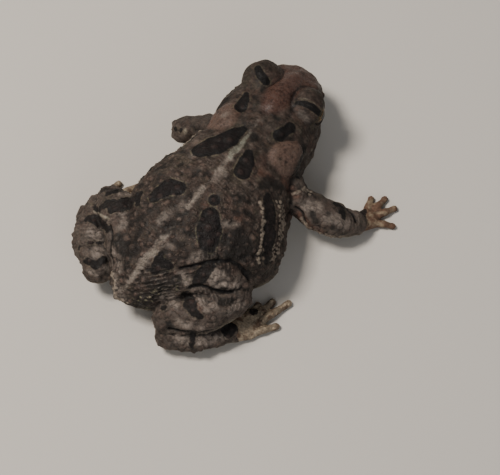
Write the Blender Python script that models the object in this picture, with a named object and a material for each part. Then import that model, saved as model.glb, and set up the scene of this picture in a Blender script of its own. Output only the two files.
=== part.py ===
"""A Canadian toad at life size, 60 mm from snout to vent, crouched on a flat floor.

The toad faces -Y, its left side is +X and the floor is z = 0. The origin is on the flat of its belly.
Sizes are in millimetres and become metres where a mesh is made. A form is drawn once, plain, and the
same form grown by the gap cuts the room for it out of its neighbour.
"""
import math
import random

import bmesh
import bpy
import numpy as np
from mathutils import Euler, Matrix, Vector
from mathutils.bvhtree import BVHTree

MM = 0.001
GAP = 0.3
SEED = 7
WELD = 0.002
SHARP_DEGREES = 40

# How far the blocks that cut reach past every form, sideways and down
FAR = 60
DEEP = 20

# Lines of head and trunk, each as (y, value) from snout to vent
BACK_LINE = ((-29.9, 8.8), (-29.1, 10.4), (-27, 12.1), (-22, 14.3), (-15, 15.8), (-8, 16.6),
             (0, 18.8), (8, 20.0), (15, 19.2), (22, 16.4), (27, 13.2), (30, 9.6), (31, 7.6))
BELLY_LINE = ((-29.9, 7.2), (-28.9, 5.0), (-26, 3.7), (-20, 2.8), (-13, 1.6), (-5, -0.7),
              (20, -0.7), (25, 0.8), (29, 3.6), (31, 6.2))
SIDE_LINE = ((-29.9, 0.7), (-29.2, 2.7), (-27.5, 5.3), (-24, 7.5), (-20, 9.3), (-16, 10.4),
             (-11, 10.6), (-6, 11.0), (0, 12.6), (6, 14.6), (11, 15.2), (15, 13.7), (20, 10.5),
             (25, 7.4), (29, 4.8), (31, 1.2))
WIDEST_LINE = ((-29.9, 8.0), (-24, 7.2), (-10, 7.2), (5, 7.4), (18, 9.0), (31, 7.0))
MIDDLE_LINE = ((-29.9, 0.0), (-21, -0.1), (-10, -1.5), (-2, -3.4), (5, -4.5), (11, -4.4),
               (18, -2.6), (25, -1.2), (31, 0.2))
CREST_LINE = ((-29.9, 0.0), (-21, -0.3), (-10, -1.4), (5, -2.0), (18, -2.1), (25, -1.2), (31, 0.2))
SNOUT_Y = BACK_LINE[0][0]
VENT_Y = BACK_LINE[-1][0]
BODY_RINGS = 32
BODY_SIDES = 24
END_GROWTH_POWER = 8
TOP_FULLNESS = 2.25
BELLY_FULLNESS = 2.7
NECK_Y = -14.3

# Mouth, lips and nostrils
MOUTH_FRONT_Z = 6.7
MOUTH_BACK_Z = 5.4
MOUTH_SLOPE = (MOUTH_BACK_Z - MOUTH_FRONT_Z) / (NECK_Y - SNOUT_Y)
MOUTH_OVERRUN = 10
LIP_RADIUS = 0.5
LIP_RISE = 0.45
LIP_INSET = dict(upper=0.25, lower=0.55)
LIP_ENDS = dict(front=0.9, back=1.5)
LIP_SWEEP = 1.3
LIP_TURNS = 10
LIP_FRONT = dict(turn=0.2, share=0.55)
LIP_RINGS = 18
LIP_SIDES = 6
LIP_CAPS = (45,)
NOSTRIL = dict(side=1.7, y=-28.9, z=10.0, radius=0.5)

# Eyes with their lids
EYE_Y = -21.2
EYE_SIDE = 6.1
EYE_Z = 11.7
EYE_RADIUS = 2.9
LID_RADII = (3.95, 4.4, 4.0)
LID_SIDE = 5.5
LID_OPENING = dict(side=9.8, y=-21.8, z=11.5, radii=(2.8, 3.0, 2.0))

# Boss between the eyes, ridges to the nostrils and ear drums
BOSS_Y = (-26.6, -15.6)
BOSS_WIDTH = (1.6, 2.5, 2.9, 2.8, 2.2)
BOSS_DEPTH = 2.2
BOSS_RISE = (0.0, 0.5, 0.8, 0.85, 0.55)
RIDGE = dict(path=((4.2, -23.6, 11.2), (3.2, -26.2, 10.2), (1.9, -28.0, 9.3)), radii=(1.9, 1.6, 1.1))
EAR = dict(y=-16.7, z=9.3, long=1.04, high=1.32, tube=0.32, sink=0.15, lean=14, sides=12, facets=5)

# Parotoid glands: a long oval pad behind each eye
PAROTOID = dict(side=7.4, y=-7.9, radii=(3.6, 5.3, 2.1), sink=0.75, splay=9.0)

# Limbs of the right side, from root to tip: path, half widths and half heights
PELVIS_X = -0.6
THIGH = dict(path=((-6.0, 23.2, 9.8), (-11.5, 17.8, 10.2), (-15.0, 15.5, 9.0)),
             width=(3.5, 4.1, 3.2), height=(4.3, 4.8, 4.0))
SHANK = dict(path=((-16.6, 18.0, 6.9), (-13.6, 23.4, 6.9), (-9.0, 28.1, 6.0)),
             width=(3.3, 4.1, 3.1), height=(4.0, 4.4, 3.4))
TARSUS = dict(path=((-10.2, 30.4, 3.0), (-14.8, 27.8, 2.9), (-19.0, 22.6, 2.2)),
              width=(2.3, 2.2, 2.0), height=(2.7, 2.5, 1.9))
SOLE = dict(path=((-18.6, 22.6, 1.5), (-20.6, 19.2, 0.9)), width=(2.1, 2.9), height=(1.6, 1.0))
TOE_ROOTS = ((-18.9, 20.6), (-19.5, 19.7), (-20.5, 19.0), (-21.5, 19.1), (-21.9, 20.3))
TOE_TIPS = ((-18.7, 16.9), (-19.8, 14.2), (-21.6, 12.0), (-24.3, 10.4), (-25.2, 15.7))
TOE_RADII = (1.0, 0.68)
LEFT_KNEE_SHIFT = (-0.6, 1.2, -0.4)
LEFT_HEEL_SHIFT = (0.5, -0.3, 0.0)
LEFT_TARSUS_SHIFT = (0.2, -3.5, 0.0)
LEFT_FOOT_TURN = 42.0

# Arms: the right one reaches out sideways, the left one folds in under the chin
ARM_RIGHT = dict(
    upper=dict(path=((-8.2, -8.8, 7.6), (-11.6, -7.2, 7.8), (-14.4, -5.9, 7.4)),
               width=(3.0, 3.0, 2.9), height=(3.4, 3.3, 3.0)),
    fore=dict(path=((-14.6, -6.0, 7.0), (-18.2, -6.3, 6.2), (-22.4, -7.6, 5.0), (-25.4, -10.2, 3.1)),
              width=(2.9, 3.3, 3.4, 2.6), height=(3.0, 3.1, 3.0, 2.1)),
    palm=dict(path=((-25.6, -10.9, 2.0), (-26.6, -13.4, 1.2)), width=(1.9, 2.3), height=(1.7, 1.2)),
    finger_roots=((-25.5, -13.8), (-26.3, -14.4), (-27.2, -14.3), (-27.9, -13.4)),
    finger_tips=((-24.4, -17.6), (-26.6, -19.2), (-29.3, -18.6), (-31.2, -15.2)))
ARM_LEFT = dict(
    upper=dict(path=((6.8, -8.8, 7.4), (10.2, -6.8, 7.0), (13.0, -5.4, 6.0)),
               width=(3.0, 2.7, 2.5), height=(3.4, 3.0, 2.5)),
    fore=dict(path=((12.9, -6.0, 5.4), (11.0, -9.0, 4.2), (9.4, -12.2, 2.6)),
              width=(2.6, 2.5, 2.0), height=(2.7, 2.5, 1.8)),
    palm=dict(path=((9.2, -12.8, 1.9), (8.4, -15.0, 1.2)), width=(1.8, 2.3), height=(1.6, 1.1)),
    finger_roots=((7.3, -15.2), (8.0, -15.9), (8.9, -16.0), (9.7, -15.4)),
    finger_tips=((4.2, -17.6), (6.0, -20.2), (8.4, -21.1), (11.1, -19.4)))
FINGER_RADII = (0.95, 0.62)

# A digit starts a little below the top of the palm, lies over the floor and thins to its tip
DIGIT_DROP = 0.15
DIGIT_LIFT = 0.05
TIP_DROP = 0.2
TIP_SHARE = 0.95
DIGIT_CAPS = (50,)

# Warts: the large ones sit in the dark spots of the back, given as (x, y, radius)
SPOT_WARTS = ((2.2, -1.2, 1.1), (0.8, -4.6, 1.0), (-4.1, -3.2, 1.0), (-5.3, 0.4, 1.1),
              (7.2, 7.7, 1.0), (3.7, 13.6, 1.1), (1.9, 10.6, 0.9), (-5.1, 8.3, 0.9), (-6.0, 11.4, 1.0),
              (-7.6, 13.6, 1.1), (-9.3, 15.7, 1.0), (2.9, 24.2, 1.1), (0.0, 25.3, 0.9),
              (-4.7, 21.0, 1.1), (-3.9, 24.6, 0.9))
WART_RISE = 0.55
WART_SINK = 0.25
WART_SIDES = 8
WART_LAYERS = 4
DROP_HEIGHT = 40
WARTS = dict(torso=(38, 0.6, 1.0), thigh=(5, 0.5, 0.85), shank=(6, 0.5, 0.85),
             forearm=(5, 0.45, 0.75), upper_arm=(2, 0.45, 0.7), head=(6, 0.35, 0.5))
WART_SPACING = 2.5
WART_CLEARANCE = 0.45
WART_TRIES = 80

# Where warts may grow: skin that faces up enough, within bounds
LIMB_FACING = 0.25
BACK_WARTS = dict(facing=-0.05, lowest=4, front=-11, rear=29)
HEAD_WARTS = dict(facing=0.3, front=-18.5, crest=3)

# Colour and roughness of each kind of part
SKINS = dict(
    back=((0.135, 0.110, 0.092), 0.55), head=((0.150, 0.105, 0.085), 0.50),
    jaw=((0.300, 0.260, 0.205), 0.60), gland=((0.190, 0.125, 0.105), 0.50),
    limb=((0.160, 0.132, 0.108), 0.55), hand=((0.200, 0.150, 0.110), 0.55),
    eye=((0.030, 0.022, 0.012), 0.08))


def along(line, at):
    """The value of a line at a place, by a smooth curve through its points."""
    points = np.asarray(line, float)
    where, values = points[:, 0], points[:, 1:]
    slopes = np.gradient(values, where, axis=0)
    at = np.atleast_1d(np.asarray(at, float))
    i = np.clip(np.searchsorted(where, at) - 1, 0, len(where) - 2)
    step = (where[i + 1] - where[i])[:, None]
    t = ((at - where[i]) / step[:, 0])[:, None]
    start = (1 + 2 * t) * (1 - t) ** 2 * values[i] + t * (1 - t) ** 2 * step * slopes[i]
    end = t * t * (3 - 2 * t) * values[i + 1] + t * t * (t - 1) * step * slopes[i + 1]
    return (start + end).squeeze()


def along_path(points, count):
    """Places evenly spaced in parameter on the smooth curve through points of any width."""
    points = np.asarray(points, float).reshape(len(points), -1)
    stations = np.linspace(0, 1, len(points))[:, None]
    return along(np.hstack([stations, points]), np.linspace(0, 1, count)).reshape(count, -1)


def new_object(name, mesh):
    made = bpy.data.objects.new(name, mesh)
    bpy.context.scene.collection.objects.link(made)
    return made


def object_from(name, work):
    """An object from a bmesh in millimetres: flat triangles, turned outward."""
    bmesh.ops.triangulate(work, faces=work.faces)
    bmesh.ops.recalc_face_normals(work, faces=work.faces)
    bmesh.ops.scale(work, vec=(MM, MM, MM), verts=work.verts)
    mesh = bpy.data.meshes.new(name)
    work.to_mesh(mesh)
    work.free()
    return new_object(name, mesh)


def lofted(name, rings, first_tip, last_tip):
    """A closed solid through a stack of rings, drawn to a point at both ends."""
    work = bmesh.new()
    loops = [[work.verts.new(point) for point in ring] for ring in rings]
    for near, far in zip(loops, loops[1:]):
        for i in range(len(near)):
            j = (i + 1) % len(near)
            work.faces.new((near[i], near[j], far[j], far[i]))
    for loop, tip in ((loops[0], first_tip), (loops[-1], last_tip)):
        point = work.verts.new(tip)
        for i in range(len(loop)):
            work.faces.new((loop[i], loop[(i + 1) % len(loop)], point))
    return object_from(name, work)


def rounded(angles, fullness):
    """Cosine and sine of a ring's angles, squared up by fullness above two."""
    cosine, sine = np.cos(angles), np.sin(angles)
    power = 2 / fullness
    return np.sign(cosine) * abs(cosine) ** power, np.sign(sine) * abs(sine) ** power


def body_sections(y, grow):
    """Rings across head and trunk at the places y: full above, flatter below."""
    angles = np.linspace(0, 2 * math.pi, BODY_SIDES, endpoint=False)
    widest = along(WIDEST_LINE, y)[:, None]
    middle = along(MIDDLE_LINE, y)[:, None]
    half = along(SIDE_LINE, y)[:, None] + grow
    rise = along(BACK_LINE, y)[:, None] - widest + grow
    drop = widest - along(BELLY_LINE, y)[:, None] + grow
    across_top, up = rounded(angles, TOP_FULLNESS)
    across_low, down = rounded(angles, BELLY_FULLNESS)
    above = up >= 0
    x = middle + half * np.where(above, across_top, across_low)
    x += (along(CREST_LINE, y)[:, None] - middle) * np.where(above, up, 0)
    z = widest + np.where(above, rise * up, drop * down)
    return np.stack([x, np.broadcast_to(np.asarray(y)[:, None], x.shape), z], axis=-1)


def body_form(name, grow=0.0):
    """Head and trunk in one, snout to vent, with its rings closer at both ends."""
    turn = np.linspace(0, math.pi, BODY_RINGS + 2)[1:-1]
    middle, half = (SNOUT_Y + VENT_Y) / 2, (VENT_Y - SNOUT_Y) / 2
    y = middle - half * np.cos(turn)
    rings = body_sections(y, grow)
    rings[..., 1] += grow * np.sign(y)[:, None] * (abs(y - middle) / half)[:, None] ** END_GROWTH_POWER
    first = (along(MIDDLE_LINE, SNOUT_Y), SNOUT_Y - grow, along(WIDEST_LINE, SNOUT_Y))
    last = (along(MIDDLE_LINE, VENT_Y), VENT_Y + grow, along(WIDEST_LINE, VENT_Y))
    return lofted(name, rings, first, last)


def limb_form(name, path, width, height, grow=0.0, rings=8, sides=12, caps=(18, 42, 70)):
    """A tube along a smooth path with oval rings and round ends, drawn in by the angles of caps."""
    centres = along_path(path, rings)
    half_width = along_path(width, rings) + grow
    half_height = along_path(height, rings) + grow
    forward = np.gradient(centres, axis=0)
    forward /= np.linalg.norm(forward, axis=1)[:, None]
    aside = np.cross(forward, (0, 0, 1))
    aside /= np.linalg.norm(aside, axis=1)[:, None]
    upward = np.cross(aside, forward)
    order = [(0, -a) for a in reversed(caps)] + [(i, 0) for i in range(rings)]
    order += [(rings - 1, a) for a in caps]
    angles = np.linspace(0, 2 * math.pi, sides, endpoint=False)
    made = []
    for i, degrees in order:
        lean = math.radians(degrees)
        reach = (half_width[i] + half_height[i]) / 2
        centre = centres[i] + forward[i] * reach * math.sin(lean)
        wide = aside[i] * half_width[i] * math.cos(lean)
        high = upward[i] * half_height[i] * math.cos(lean)
        made.append(centre + np.outer(np.cos(angles), wide) + np.outer(np.sin(angles), high))
    first = centres[0] - forward[0] * (half_width[0] + half_height[0]) / 2
    last = centres[-1] + forward[-1] * (half_width[-1] + half_height[-1]) / 2
    return lofted(name, made, first, last)


def ball(name, centre, radii, turn=(0, 0, 0), segments=16, layers=10):
    """An egg-shaped solid, turned by three angles in degrees."""
    work = bmesh.new()
    place = Matrix.Translation(centre) @ Euler([math.radians(a) for a in turn]).to_matrix().to_4x4()
    shape = Matrix.Diagonal((*radii, 1))
    bmesh.ops.create_uvsphere(work, u_segments=segments, v_segments=layers, radius=1,
                              matrix=place @ shape)
    return object_from(name, work)


def block(name, low, high):
    """A box between two corners."""
    work = bmesh.new()
    low, high = Vector(low), Vector(high)
    shape = Matrix.Translation((low + high) / 2) @ Matrix.Diagonal((*(high - low), 1))
    bmesh.ops.create_cube(work, size=1, matrix=shape)
    return object_from(name, work)


def remove(objects):
    for item in objects:
        bpy.data.objects.remove(item)


def combine(target, others, operation, solver="EXACT"):
    """Join others to the target, or cut them from it, in one step, and remove them."""
    tools = bpy.data.collections.new("tools")
    bpy.context.scene.collection.children.link(tools)
    for item in others:
        tools.objects.link(item)
        bpy.context.scene.collection.objects.unlink(item)
    step = target.modifiers.new("step", "BOOLEAN")
    step.operation = operation
    step.operand_type = "COLLECTION"
    step.collection = tools
    step.solver = solver
    graph = bpy.context.evaluated_depsgraph_get()
    mesh = bpy.data.meshes.new_from_object(target.evaluated_get(graph))
    target.modifiers.remove(step)
    target.data = mesh
    remove(others)
    bpy.data.collections.remove(tools)


def fuse(target, others):
    combine(target, others, "UNION")


def cut(target, others):
    for item in others:
        combine(target, [item], "DIFFERENCE")


def volume_of(faces):
    total = 0.0
    for face in faces:
        corners = [vert.co for vert in face.verts]
        for b, c in zip(corners[1:], corners[2:]):
            total += corners[0].dot(b.cross(c))
    return total / 6


def keep_largest(target):
    """Weld the object's doubles and drop all but its largest closed surface."""
    work = bmesh.new()
    work.from_mesh(target.data)
    bmesh.ops.remove_doubles(work, verts=work.verts, dist=WELD * MM)
    left = set(work.faces)
    islands = []
    while left:
        island, edge_of_island = set(), [left.pop()]
        while edge_of_island:
            face = edge_of_island.pop()
            island.add(face)
            near = {other for edge in face.edges for other in edge.link_faces} & left
            left -= near
            edge_of_island.extend(near)
        islands.append(island)
    islands.sort(key=volume_of)
    scraps = [face for island in islands[:-1] for face in island]
    bmesh.ops.delete(work, geom=scraps, context="FACES")
    loose = [vert for vert in work.verts if not vert.link_faces]
    bmesh.ops.delete(work, geom=loose, context="VERTS")
    bmesh.ops.triangulate(work, faces=work.faces)
    work.to_mesh(target.data)
    work.free()


def tree_of(target):
    work = bmesh.new()
    work.from_mesh(target.data)
    tree = BVHTree.FromBMesh(work)
    work.free()
    return tree


def distance_to(tree, point):
    return tree.find_nearest(point * MM)[3] / MM


def wart(place, normal, radius):
    """A low dome, sunk to its waist in the skin that it grows from."""
    turn = normal.to_track_quat("Z", "Y").to_euler()
    degrees = [math.degrees(angle) for angle in turn]
    rise = radius * WART_RISE
    radii = (radius, radius, rise * (1 + WART_SINK))
    return ball("wart", place - normal * rise * WART_SINK, radii, degrees, WART_SIDES, WART_LAYERS)


def scattered(target, kind, neighbours, draw, taken, allowed):
    """Places for warts, drawn evenly over the skin, clear of those taken and of the neighbours."""
    count, smallest, largest = WARTS[kind]
    faces = target.data.polygons
    areas = np.cumsum([face.area for face in faces])
    found = []
    for _ in range(count * WART_TRIES):
        if len(found) == count:
            break
        face = faces[int(np.searchsorted(areas, draw.random() * areas[-1]))]
        place, normal = face.center / MM, face.normal.copy()
        radius = draw.uniform(smallest, largest)
        if not allowed(place, normal):
            continue
        if any((place - other).length < WART_SPACING for other, _, _ in taken + found):
            continue
        if clear_of(neighbours, place, radius):
            found.append((place, normal, radius))
    return found


def clear_of(neighbours, place, radius):
    return all(distance_to(tree, place) > radius + WART_CLEARANCE for tree in neighbours)


def spot_places(tree, neighbours):
    """The large warts of the back, dropped from above on to the skin."""
    places = []
    for x, y, radius in SPOT_WARTS:
        place, normal, _, _ = tree.ray_cast(Vector((x, y, DROP_HEIGHT)) * MM, Vector((0, 0, -1)))
        if clear_of(neighbours, place / MM, radius):
            places.append((place / MM, normal, radius))
    return places


def finish(target, kind):
    """Clean the solid, shade it smooth and give it its own material."""
    keep_largest(target)
    colour, roughness = SKINS[kind]
    material = bpy.data.materials.new(target.name + "_skin")
    material.use_nodes = True
    shader = material.node_tree.nodes["Principled BSDF"]
    shader.inputs["Base Color"].default_value = (*colour, 1)
    shader.inputs["Roughness"].default_value = roughness
    shader.inputs["Metallic"].default_value = 0.0
    target.data.materials.clear()
    target.data.materials.append(material)
    target.data.shade_smooth()
    target.data.set_sharp_from_angle(angle=math.radians(SHARP_DEGREES))
    bpy.context.scene.collection.objects.unlink(target)
    bpy.data.collections["canadian_toad"].objects.link(target)


def floor_cutter():
    return block("floor_cutter", (-FAR, -FAR, -DEEP), (FAR, FAR, 0))


def neck_cutter(front, back):
    """Everything between two places along the body."""
    return block("neck_cutter", (-FAR, front, -DEEP), (FAR, back, FAR))


def middle_at(y):
    return float(along(MIDDLE_LINE, y))


def side_at(side, y, z):
    """How far out the skin of head or trunk lies at a place above its widest level."""
    widest = float(along(WIDEST_LINE, y))
    share = (z - widest) / (float(along(BACK_LINE, y)) - widest)
    reach = (1 - share ** TOP_FULLNESS) ** (1 / TOP_FULLNESS)
    return middle_at(y) + side * reach * float(along(SIDE_LINE, y))


def mouth_cutter(low, high):
    """Everything between two heights over the slanting line of the mouth, in front of the neck."""
    front, back = SNOUT_Y - MOUTH_OVERRUN, NECK_Y + MOUTH_OVERRUN
    work = bmesh.new()
    bmesh.ops.create_cube(work, size=1)
    for vert in work.verts:
        y = front if vert.co.y < 0 else back
        z = MOUTH_FRONT_Z + MOUTH_SLOPE * (y - SNOUT_Y) + (low if vert.co.z < 0 else high)
        vert.co = (vert.co.x * FAR, y, z)
    return object_from("mouth_cutter", work)


def lip(name, rise, inset):
    """A rounded rim along the mouth, round the snout from one jaw corner to the other."""
    turn = np.linspace(math.pi, 0, LIP_TURNS)
    front, back = SNOUT_Y + LIP_ENDS["front"], NECK_Y - LIP_ENDS["back"]
    y = front + (back - front) * (1 - np.sin(turn)) ** LIP_SWEEP
    half = along(SIDE_LINE, y) - inset
    foremost = abs(turn - math.pi / 2) < LIP_FRONT["turn"]
    half = np.where(foremost, half * LIP_FRONT["share"], half)
    x = along(MIDDLE_LINE, y) + half * np.where(turn > math.pi / 2, -1, 1)
    z = MOUTH_FRONT_Z + MOUTH_SLOPE * (y - SNOUT_Y) + rise
    path = np.stack([x, y, z], axis=-1)
    size = (LIP_RADIUS, LIP_RADIUS)
    return limb_form(name, path, size, size, 0.0, LIP_RINGS, LIP_SIDES, LIP_CAPS)


def eye_place(side):
    return (middle_at(EYE_Y) + side * EYE_SIDE, EYE_Y, EYE_Z)


def build_head():
    """The upper head: lids round the eyes, the boss between them, nostrils, ear drums and lip."""
    head = body_form("head")
    middle = middle_at(EYE_Y)
    added = [lip("upper_lip", LIP_RISE, LIP_INSET["upper"]), boss()]
    for side in (-1, 1):
        added.append(ball("lid", (middle + side * LID_SIDE, EYE_Y, EYE_Z), LID_RADII, (0, 0, 0), 16, 12))
        added.append(snout_ridge(side))
        added.append(ear_ring(side))
    for item in added:
        fuse(head, [item])
    holes = []
    for side in (-1, 1):
        holes.append(ball("socket", eye_place(side), [EYE_RADIUS + GAP] * 3, (0, 0, 0), 14, 10))
        opening = (middle + side * LID_OPENING["side"], LID_OPENING["y"], LID_OPENING["z"])
        holes.append(ball("opening", opening, LID_OPENING["radii"], (0, 0, 0), 14, 10))
        nostril = (middle_at(NOSTRIL["y"]) + side * NOSTRIL["side"], NOSTRIL["y"], NOSTRIL["z"])
        holes.append(ball("nostril", nostril, [NOSTRIL["radius"]] * 3, (0, 0, 0), 8, 6))
    cut(head, holes)
    cut(head, [neck_cutter(NECK_Y, FAR), mouth_cutter(-FAR, 0)])
    return head


def boss():
    """The raised boss along the middle of the head, from between the eyes down to the snout."""
    y = np.linspace(*BOSS_Y, len(BOSS_WIDTH))
    z = along(BACK_LINE, y) - BOSS_DEPTH + np.array(BOSS_RISE)
    path = np.stack([along(CREST_LINE, y), y, z], axis=-1)
    return limb_form("boss", path, BOSS_WIDTH, [BOSS_DEPTH] * len(y), 0.0, 9, 14)


def snout_ridge(side):
    """The low ridge from the front of the lid down to the nostril."""
    middle = middle_at(EYE_Y)
    path = [(middle + side * x, y, z) for x, y, z in RIDGE["path"]]
    return limb_form("snout_ridge", path, RIDGE["radii"], RIDGE["radii"], 0.0, 6, 9)


def ear_ring(side):
    """The rim of an ear drum: a small ring standing on the side of the head."""
    work = bmesh.new()
    facets, tube = EAR["facets"], EAR["tube"]
    loops = []
    for a in np.linspace(0, 2 * math.pi, EAR["sides"], endpoint=False):
        loop = []
        for b in np.linspace(0, 2 * math.pi, facets, endpoint=False):
            long, high = EAR["long"] + tube * math.cos(b), EAR["high"] + tube * math.cos(b)
            place = (side * tube * math.sin(b), long * math.cos(a), high * math.sin(a))
            loop.append(work.verts.new(place))
        loops.append(loop)
    for near, far in zip(loops, loops[1:] + loops[:1]):
        for i in range(facets):
            j = (i + 1) % facets
            work.faces.new((near[i], near[j], far[j], far[i]))
    turn = Matrix.Rotation(math.radians(-side * EAR["lean"]), 4, "Y")
    x = side_at(side, EAR["y"], EAR["z"]) - side * EAR["sink"]
    place = Matrix.Translation((x, EAR["y"], EAR["z"]))
    bmesh.ops.transform(work, matrix=place @ turn, verts=work.verts)
    return object_from("ear", work)


def build_jaw():
    """The lower jaw and chin, closed on the upper lip with the thin line of the mouth."""
    jaw = body_form("lower_jaw")
    fuse(jaw, [lip("lower_lip", -GAP - LIP_RISE, LIP_INSET["lower"])])
    cut(jaw, [neck_cutter(NECK_Y, FAR), mouth_cutter(-GAP, FAR)])
    return jaw


def parotoid_form(name, side, grow=0.0):
    """One gland: a flattened oval pad that leans with the side of the shoulder."""
    y = PAROTOID["y"]
    widest = float(along(WIDEST_LINE, y))
    rise = float(along(BACK_LINE, y)) - widest
    half = float(along(SIDE_LINE, y))
    share = PAROTOID["side"] / half
    z = widest + rise * math.sqrt(1 - share ** 2)
    lean = math.atan2(share / half, (z - widest) / rise ** 2)
    out = Vector((side * math.sin(lean), 0, math.cos(lean)))
    centre = Vector((middle_at(y) + side * PAROTOID["side"], y, z)) - out * PAROTOID["sink"]
    radii = [radius + grow for radius in PAROTOID["radii"]]
    turn = (0, math.degrees(lean) * side, side * PAROTOID["splay"])
    return ball(name, centre, radii, turn, 16, 10)


def build_torso():
    torso = body_form("torso")
    cut(torso, [neck_cutter(-FAR, NECK_Y + GAP), floor_cutter()])
    return torso


def mirrored(points):
    return [(2 * PELVIS_X - point[0], *point[1:]) for point in points]


def tucked(points, pivot):
    """Points of the left foot, turned in about the ankle and carried along with the tarsus."""
    away = np.subtract(points, pivot)
    turn = -math.radians(LEFT_FOOT_TURN)
    x = away[:, 0] * math.cos(turn) - away[:, 1] * math.sin(turn)
    y = away[:, 0] * math.sin(turn) + away[:, 1] * math.cos(turn)
    away[:, 0], away[:, 1] = x, y
    return away + pivot + LEFT_TARSUS_SHIFT[:len(pivot)]


def leg_pieces(side):
    """Path and size of each piece of one hind leg; the left heel stands a little further out."""
    pieces = dict(thigh=dict(THIGH), shank=dict(SHANK), tarsus=dict(TARSUS), sole=dict(SOLE))
    roots, tips = TOE_ROOTS, TOE_TIPS
    if side == "left":
        for piece in pieces.values():
            piece["path"] = mirrored(piece["path"])
        shares = np.array([[0.0], [0.5], [1.0]])
        pieces["thigh"]["path"] = np.add(pieces["thigh"]["path"], shares * LEFT_KNEE_SHIFT)
        pieces["shank"]["path"] = np.add(pieces["shank"]["path"], shares[::-1] * LEFT_KNEE_SHIFT)
        pieces["shank"]["path"] += shares * LEFT_HEEL_SHIFT
        pieces["tarsus"]["path"] = np.add(pieces["tarsus"]["path"], LEFT_TARSUS_SHIFT)
        pivot = np.array(pieces["sole"]["path"][0])
        pieces["sole"]["path"] = tucked(pieces["sole"]["path"], pivot)
        roots, tips = tucked(mirrored(roots), pivot[:2]), tucked(mirrored(tips), pivot[:2])
    return pieces, roots, tips


def digits(name, palm, roots, tips, radii):
    """A palm or sole with its digits: tapered tubes that run out over the floor."""
    made = limb_form(name, **palm, rings=4, sides=12)
    for root, tip in zip(roots, tips):
        middle = np.add(root, tip) / 2
        thick, thin = radii
        heights = (thick - DIGIT_DROP, thin + DIGIT_LIFT, thin - TIP_DROP)
        path = [(*place, height) for place, height in zip((root, middle, tip), heights)]
        width = (thick, thin, thin * TIP_SHARE)
        fuse(made, [limb_form("digit", path, width, width, rings=4, sides=7, caps=DIGIT_CAPS)])
    cut(made, [floor_cutter()])
    return made


def build_limbs(side, torso_grown):
    """The three pieces and the spread hand or foot of each limb of one side, in order from the body."""
    arm = ARM_RIGHT if side == "right" else ARM_LEFT
    leg, toe_roots, toe_tips = leg_pieces(side)
    chains = dict(
        arm=[("upper_arm", arm["upper"]), ("forearm", arm["fore"])],
        leg=[("thigh", leg["thigh"]), ("shank", leg["shank"]), ("tarsus", leg["tarsus"])])
    made = {}
    for pieces in chains.values():
        inner = []
        for kind, shape in pieces:
            piece = limb_form(f"{kind}_{side}", **shape)
            cut(piece, [torso_grown(), floor_cutter()])
            for before in inner:
                cut(piece, [limb_form("room", **before, grow=GAP)])
            inner.append(shape)
            keep_largest(piece)
            made[kind] = piece
    hand = digits(f"hand_{side}", arm["palm"], arm["finger_roots"], arm["finger_tips"], FINGER_RADII)
    cut(hand, [limb_form("room", **arm["fore"], grow=GAP), torso_grown()])
    foot = digits(f"foot_{side}", leg["sole"], toe_roots, toe_tips, TOE_RADII)
    cut(foot, [limb_form("room", **leg[kind], grow=GAP) for kind in ("tarsus", "shank", "thigh")])
    cut(foot, [torso_grown()])
    made.update(hand=hand, foot=foot)
    return made


def limb_skin(_, normal):
    return normal.z > LIMB_FACING


def back_skin(place, normal):
    bounds = BACK_WARTS
    inside = place.z > bounds["lowest"] and bounds["front"] < place.y < bounds["rear"]
    return normal.z > bounds["facing"] and inside


def head_skin(place, normal):
    bounds = HEAD_WARTS
    beside = abs(place.x - middle_at(place.y)) > bounds["crest"]
    return normal.z > bounds["facing"] and place.y > bounds["front"] and beside


def add_warts(nodes):
    """Scatter the warts of every node, clear of the nodes beside it and of their warts."""
    draw = random.Random(SEED)
    trees = {name: tree_of(node) for name, node in nodes.items()}
    taken = []
    for name, node in nodes.items():
        kind = name.replace("_left", "").replace("_right", "")
        if kind not in WARTS:
            continue
        others = [tree for other, tree in trees.items() if other != name]
        places = spot_places(trees[name], others) if kind == "torso" else []
        allowed = dict(torso=back_skin, head=head_skin).get(kind, limb_skin)
        places += scattered(node, kind, others, draw, taken + places, allowed)
        fuse(node, [wart(*place) for place in places])
        taken += places


def main():
    remove(list(bpy.data.objects))
    bpy.context.scene.collection.children.link(bpy.data.collections.new("canadian_toad"))
    nodes = dict(torso=build_torso(), head=build_head(), lower_jaw=build_jaw())

    def torso_grown():
        return body_form("torso_room", GAP)

    for side in ("left", "right"):
        for kind, piece in build_limbs(side, torso_grown).items():
            nodes[f"{kind}_{side}"] = piece
    for side, sign in (("left", 1), ("right", -1)):
        nodes[f"parotoid_{side}"] = parotoid_form(f"parotoid_{side}", sign)
        cut(nodes["torso"], [parotoid_form("recess", sign, GAP)])
        eye = ball(f"eye_{side}", eye_place(sign), [EYE_RADIUS] * 3, (0, 90, 0), 16, 10)
        nodes[f"eye_{side}"] = eye
    add_warts(nodes)
    kinds = dict(torso="back", head="head", lower_jaw="jaw", parotoid="gland", eye="eye",
                 hand="hand", foot="hand")
    for name, node in nodes.items():
        kind = name.replace("_left", "").replace("_right", "")
        finish(node, kinds.get(kind, "limb"))


main()
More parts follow.
